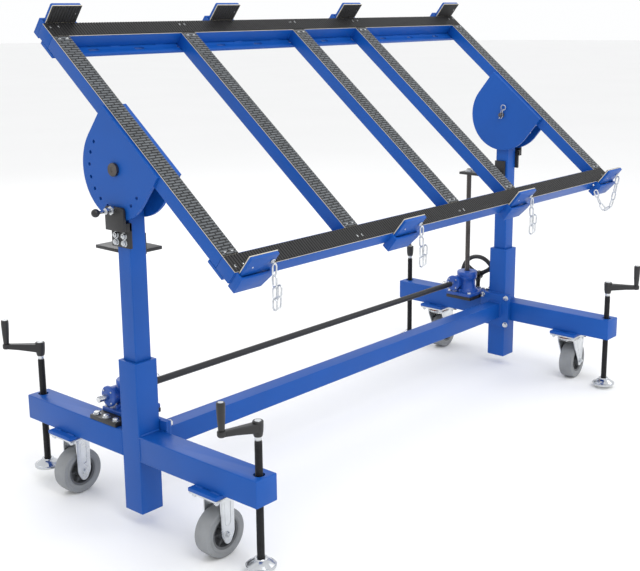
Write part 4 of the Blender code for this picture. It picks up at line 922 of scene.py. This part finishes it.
strip_high = rail_low - 0.0003
strip_low = strip_high - 0.008
for end_name, end in ENDS.items():
    edge = front_edge if end < 0 else rear_edge
    rail = square_tube((-table_half, edge, rail_low), (table_half, edge - end * rail_width, rail_top), "X",
                       0.0024)
    strip_inner = edge - end * 0.078
    strip_outer = strip_inner + end * 0.058
    strip = slab((-table_half, strip_inner, strip_low), (table_half, strip_outer, strip_high), 0.0)
    slot_y = edge - end * 0.0612
    slots = []
    for step in range(-5, 6):
        x = step * 0.152
        slot_shape = slab((x - 0.017, slot_y - 0.0045, strip_low - 0.01),
                          (x + 0.017, slot_y + 0.0045, strip_high + 0.01), 0.0)
        upright_edges = [e for e in slot_shape.edges if abs(e.verts[0].co.z - e.verts[1].co.z) > 0.01]
        bmesh.ops.bevel(slot_shape, geom=upright_edges, offset=0.0044, segments=6, affect="EDGES",
                        profile=0.5, material=-1)
        slots.append(slot_shape)
    pockets, beads = [], []
    inner = 0.0460
    cover_near, cover_far = 0.0127 + 0.004, 0.0127 + 0.004 + 0.007
    high, low = pivot_drop - 0.003, pivot_drop - 0.050
    for x in stop_centres.values():
        outline = [(x - inner - 0.006, high), (x + inner + 0.006, high), (x + inner + 0.006, low + 0.032),
                   (x + inner - 0.010, low), (x - inner - 0.006, low)]
        pockets.append(flat_plate(outline, *sorted((edge + end * cover_near, edge + end * cover_far)),
                                  0.0009))
        for face in (-1, 1):
            wall_low = low + (0.032 if face > 0 else 0.0)
            pockets.append(slab((x + face * inner, edge - end * 0.0005, wall_low),
                                (x + face * (inner + 0.006), edge + end * (cover_near + 0.0005),
                                 high - 0.001), 0.0006))
            beads.append(weld([(x + face * (inner + 0.0062), edge + end * 0.0006, wall_low + 0.012),
                               (x + face * (inner + 0.0062), edge + end * 0.0006, high - 0.003)], 0.0014))
    for step in range(-5, 5):
        x = (step + 0.5) * 0.152
        beads.append(weld([(x - 0.015, edge - end * (rail_width + 0.0006), rail_low - 0.0004),
                           (x + 0.015, edge - end * (rail_width + 0.0006), rail_low - 0.0004)], 0.0024))
        beads.append(weld([(x - 0.015, strip_outer + end * 0.0006, rail_low - 0.0004),
                           (x + 0.015, strip_outer + end * 0.0006, rail_low - 0.0004)], 0.0024))
    piece(f"{end_name}_rail_tube", [rail, *pockets, *beads], blue, "table",
          [f"{end_name}_rail"], tilt)
    piece(f"{end_name}_slotted_strip", [eased(cut_by(strip, slots), 0.0008, 2)], blue, "table",
          (), tilt)

# --- Rubber pads ---
# Black rubber matting is glued and screwed along every rail and bar. On the long rails it shows fine ribs
# across; on the side rails and bars it shows rows of short staggered lugs. Its cut edge is a cream backing.
mat_rubber = coating("black_mat_rubber", (0.014, 0.014, 0.015), 0.50, tone=0.25, cloud=40.0, grain=1500.0,
                     bump=0.15)
# Painted highlight: the lugs are coloured a lighter grey than the black mat to stand in for light catching
# their tops.
lug_highlight_rubber = coating("lug_rubber_painted_highlight", (0.105, 0.115, 0.125), 0.36, tone=0.22, cloud=35.0, grain=1500.0,
                     bump=0.12)
backing = coating("cream_backing", (0.62, 0.58, 0.48), 0.6, tone=0.1, cloud=40.0)
mat_high = pivot_drop
mat_low = rail_top + 0.0003
backing_high = mat_low + 0.0014


def lugs(boxes):
    """Many small plain-topped lugs, each tapered towards its top."""
    shape = bmesh.new()
    for low, high in boxes:
        geom = bmesh.ops.create_cube(shape, size=1.0)["verts"]
        size, middle = Vector(high) - Vector(low), (Vector(high) + Vector(low)) / 2
        for corner in geom:
            inward = 0.84 if corner.co.z > 0 else 1.0
            corner.co = (corner.co.x * size.x * (inward if size.x < 0.01 else 1.0) + middle.x,
                         corner.co.y * size.y * (inward if size.y < 0.01 else 1.0) + middle.y,
                         corner.co.z * size.z + middle.z)
    return shape


web_high = backing_high + 0.0008
long_runs = {"front": (front_edge, front_edge + rail_width), "rear": (rear_edge - rail_width, rear_edge)}
short_runs = {"side_left": (-table_half, -table_half + rail_width),
              "bar_1": (-0.469, -0.419), "bar_2": (-0.013, 0.037), "bar_3": (0.291, 0.341),
              "side_right": (table_half - rail_width, table_half)}
for run_name, (near, far) in long_runs.items():
    rib_boxes = []
    count = int(2 * table_half / 0.0088)
    for step in range(count):
        x = -table_half + 0.0032 + (step + 0.5) * (2 * table_half - 0.0064) / count
        rib_boxes.append(((x - 0.0028, near + 0.0016, web_high - 0.0002),
                          (x + 0.0028, far - 0.0016, mat_high)))
    piece(f"pad_{run_name}",
          [slab((-table_half + 0.0004, near + 0.0006, backing_high),
                (table_half - 0.0004, far - 0.0006, web_high), 0.0003, 1),
           lugs(rib_boxes)],
          mat_rubber, "table", ["table_pads"] if run_name == "front" else (), tilt)
    piece(f"pad_backing_{run_name}", [slab((-table_half, near, mat_low), (table_half, far, backing_high),
                                           0.0002, 1)], backing, "table", (), tilt)
row_pitch, lug_length, lug_gap = 0.0086, 0.0215, 0.0035
for run_name, (near, far) in short_runs.items():
    low, high = front_edge + rail_width + 0.0006, rear_edge - rail_width - 0.0006
    boxes = []
    for row in range(int((high - low) / row_pitch)):
        y = low + (row + 0.5) * row_pitch
        start = near + 0.0015 - (0.0 if row % 2 else (lug_length + lug_gap) / 2)
        while start < far - 0.0015:
            left, right = max(start, near + 0.0015), min(start + lug_length, far - 0.0015)
            if right - left > 0.003:
                boxes.append(((left, y - 0.0027, web_high - 0.0002), (right, y + 0.0027, mat_high)))
            start += lug_length + lug_gap
    piece(f"pad_{run_name}", [slab((near + 0.0006, low - 0.0004, backing_high),
                                   (far - 0.0006, high + 0.0004, web_high), 0.0003, 1)], mat_rubber,
          "table", (), tilt)
    piece(f"pad_lugs_{run_name}", [lugs(boxes)], lug_highlight_rubber, "table", (), tilt)
    piece(f"pad_backing_{run_name}", [slab((near, low - 0.0005, mat_low),
                                           (far, high + 0.0005, backing_high), 0.0002, 1)], backing,
          "table", (), tilt)
pad_screws = []
for near, far in short_runs.values():
    for y in (front_edge + 0.016, front_edge + 0.062, rear_edge - 0.062, rear_edge - 0.016):
        for x in (near + 0.014, far - 0.014):
            pad_screws.append(moved(turned([(0, -0.002), (0.0042, -0.002), (0.0042, -0.0004), (0.0030, 0.0),
                                            (0.0016, -0.0008), (0, -0.0008)], 20), shift(x, y, mat_high)))
piece("pad_screws", pad_screws, zinc, "table", (), tilt)

# --- Edge stops and their chains ---
# Eight flat stops slide in pockets on the long rails. Each is a blue steel plate faced with cream-backed
# rubber towards the table. Galvanised chains hang from the front ones; the last loops back to the rail.
galvanised = coating("galvanised_chain", (0.66, 0.68, 0.70), 0.36, metallic=1.0, tone=0.18, cloud=120.0,
                     grain=500.0, bump=0.2)
stop_rubber = coating("stop_facing_rubber", (0.020, 0.020, 0.021), 0.6, tone=0.2, cloud=40.0, grain=1500.0,
                      bump=0.15)


def link(length, width, wire, flat):
    """One welded chain link hanging along -Z from its upper bend, turned edge-on when flat is false."""
    half = width / 2 - wire
    points = [(a, b) for a, b in arc((0, -wire - half), half, 0, 180, 6)]
    points += [(a, b) for a, b in arc((0, -length + wire + half), half, 180, 360, 6)]
    path = [(a, 0.0, b) if flat else (0.0, a, b) for a, b in points]
    return swept(path, wire, closed=True, roundness=2)


def draped_chain(points, length=0.0320, width=0.0170, wire=0.0024):
    """Links laid end to end along a line of points, every other one turned edge-on."""
    pitch = length - 2 * wire - 0.0004
    fine = [a.lerp(b, step / 40) for a, b in zip(points, points[1:]) for step in range(40)] + [points[-1]]
    shapes, start = [], fine[0]
    for point in fine:
        if (point - start).length >= pitch:
            aim = (point - start).to_track_quat("-Z", "Y").to_matrix().to_4x4()
            shapes.append(moved(link(length, width, wire, len(shapes) % 2 == 0), aim, shift(*start)))
            start = point
    return shapes


for end_name, end in ENDS.items():
    edge = front_edge if end < 0 else rear_edge
    for place_name, x in stop_centres.items():
        name = f"stop_{end_name}_{place_name}"
        near, far = edge + end * 0.0050, edge + end * 0.0130
        low, high = pivot_drop - 0.046, pivot_drop + 0.052
        plate = slab((x - 0.0455, near, low), (x + 0.0455, far, high), 0.0)
        top_corners = [e for e in plate.edges if abs(e.verts[0].co.y - e.verts[1].co.y) > 0.001
                       and e.verts[0].co.z > pivot_drop]
        bmesh.ops.bevel(plate, geom=top_corners, offset=0.004, segments=3, affect="EDGES", profile=0.5,
                        material=-1)
        piece(f"{name}_plate", [eased(plate, 0.0010, 2, over=50.0)], blue, name, [name], tilt)
        sheet = slab((x - 0.0450, edge + end * 0.0014, pivot_drop - 0.002),
                     (x + 0.0450, edge + end * 0.0026, high - 0.001), 0.0003, 1)
        ribs = lugs([((x - 0.0450 + step * 0.0090, edge + end * 0.0003, pivot_drop + 0.001),
                      (x - 0.0450 + step * 0.0090 + 0.0058, edge + end * 0.0016, high - 0.002))
                     for step in range(10)])
        piece(f"{name}_facing", [sheet, ribs], stop_rubber, name, (), tilt)
        piece(f"{name}_backing", [slab((x - 0.0455, edge + end * 0.0026, pivot_drop - 0.004),
                                       (x + 0.0455, edge + end * 0.0050, high), 0.0002, 1)], backing, name,
              (), tilt)
        rivets = [moved(round_bar(0.0026, 0.0, 0.0015, 16),
                        facing((0, -end, 0), (x + at, edge + end * 0.0019, pivot_drop + 0.026)))
                  for at in (-0.033, 0.033)]
        rivets.append(moved(round_bar(0.0024, 0.0, 0.0012, 16),
                            facing((0, end, 0), (x - 0.024, far - end * 0.0002, pivot_drop + 0.020))))
        piece(f"{name}_rivets", rivets, zinc, name, (), tilt)
        ring_at = tilt @ Vector((x + 0.036, edge + end * 0.0130, pivot_drop + 0.026))
        eye = swept([(0.0055 * math.cos(a), 0.0, 0.0055 * math.sin(a))
                     for a in (math.tau * step / 16 for step in range(16))], 0.0014, closed=True,
                    roundness=2)
        hook = [moved(eye, turn(38.65, "X"), shift(ring_at.x, ring_at.y + end * 0.002, ring_at.z)),
                moved(round_bar(0.0028, 0.0, 0.0030, 16),
                      facing(tilt.to_3x3() @ Vector((0, end, 0)), ring_at))]
        if end < 0:
            top = Vector((ring_at.x, ring_at.y - 0.006, ring_at.z - 0.003))
            if place_name == "right_outer":
                far_end = tilt @ Vector((x - 0.068, edge - 0.004, pivot_drop - 0.012))
                loop = [top.lerp(far_end, t / 8) - Vector((0, 0.010 * math.sin(math.pi * t / 8),
                                                          0.105 * math.sin(math.pi * t / 8)))
                        for t in range(9)]
                hook += draped_chain(loop)
                hook.append(moved(round_bar(0.0034, 0.0, 0.0060, 20),
                                  facing(tilt.to_3x3() @ Vector((0, -1, 0)),
                                         far_end + Vector((0, 0.003, 0)))))
            else:
                low_end = top - Vector((0, 0, 0.112))
                hook += draped_chain([top, low_end])
                hook += draped_chain([top + Vector((0.011, -0.006, -0.052)),
                                      low_end + Vector((0.004, -0.006, -0.018))])
        piece(f"{name}_chain", hook, galvanised, name)
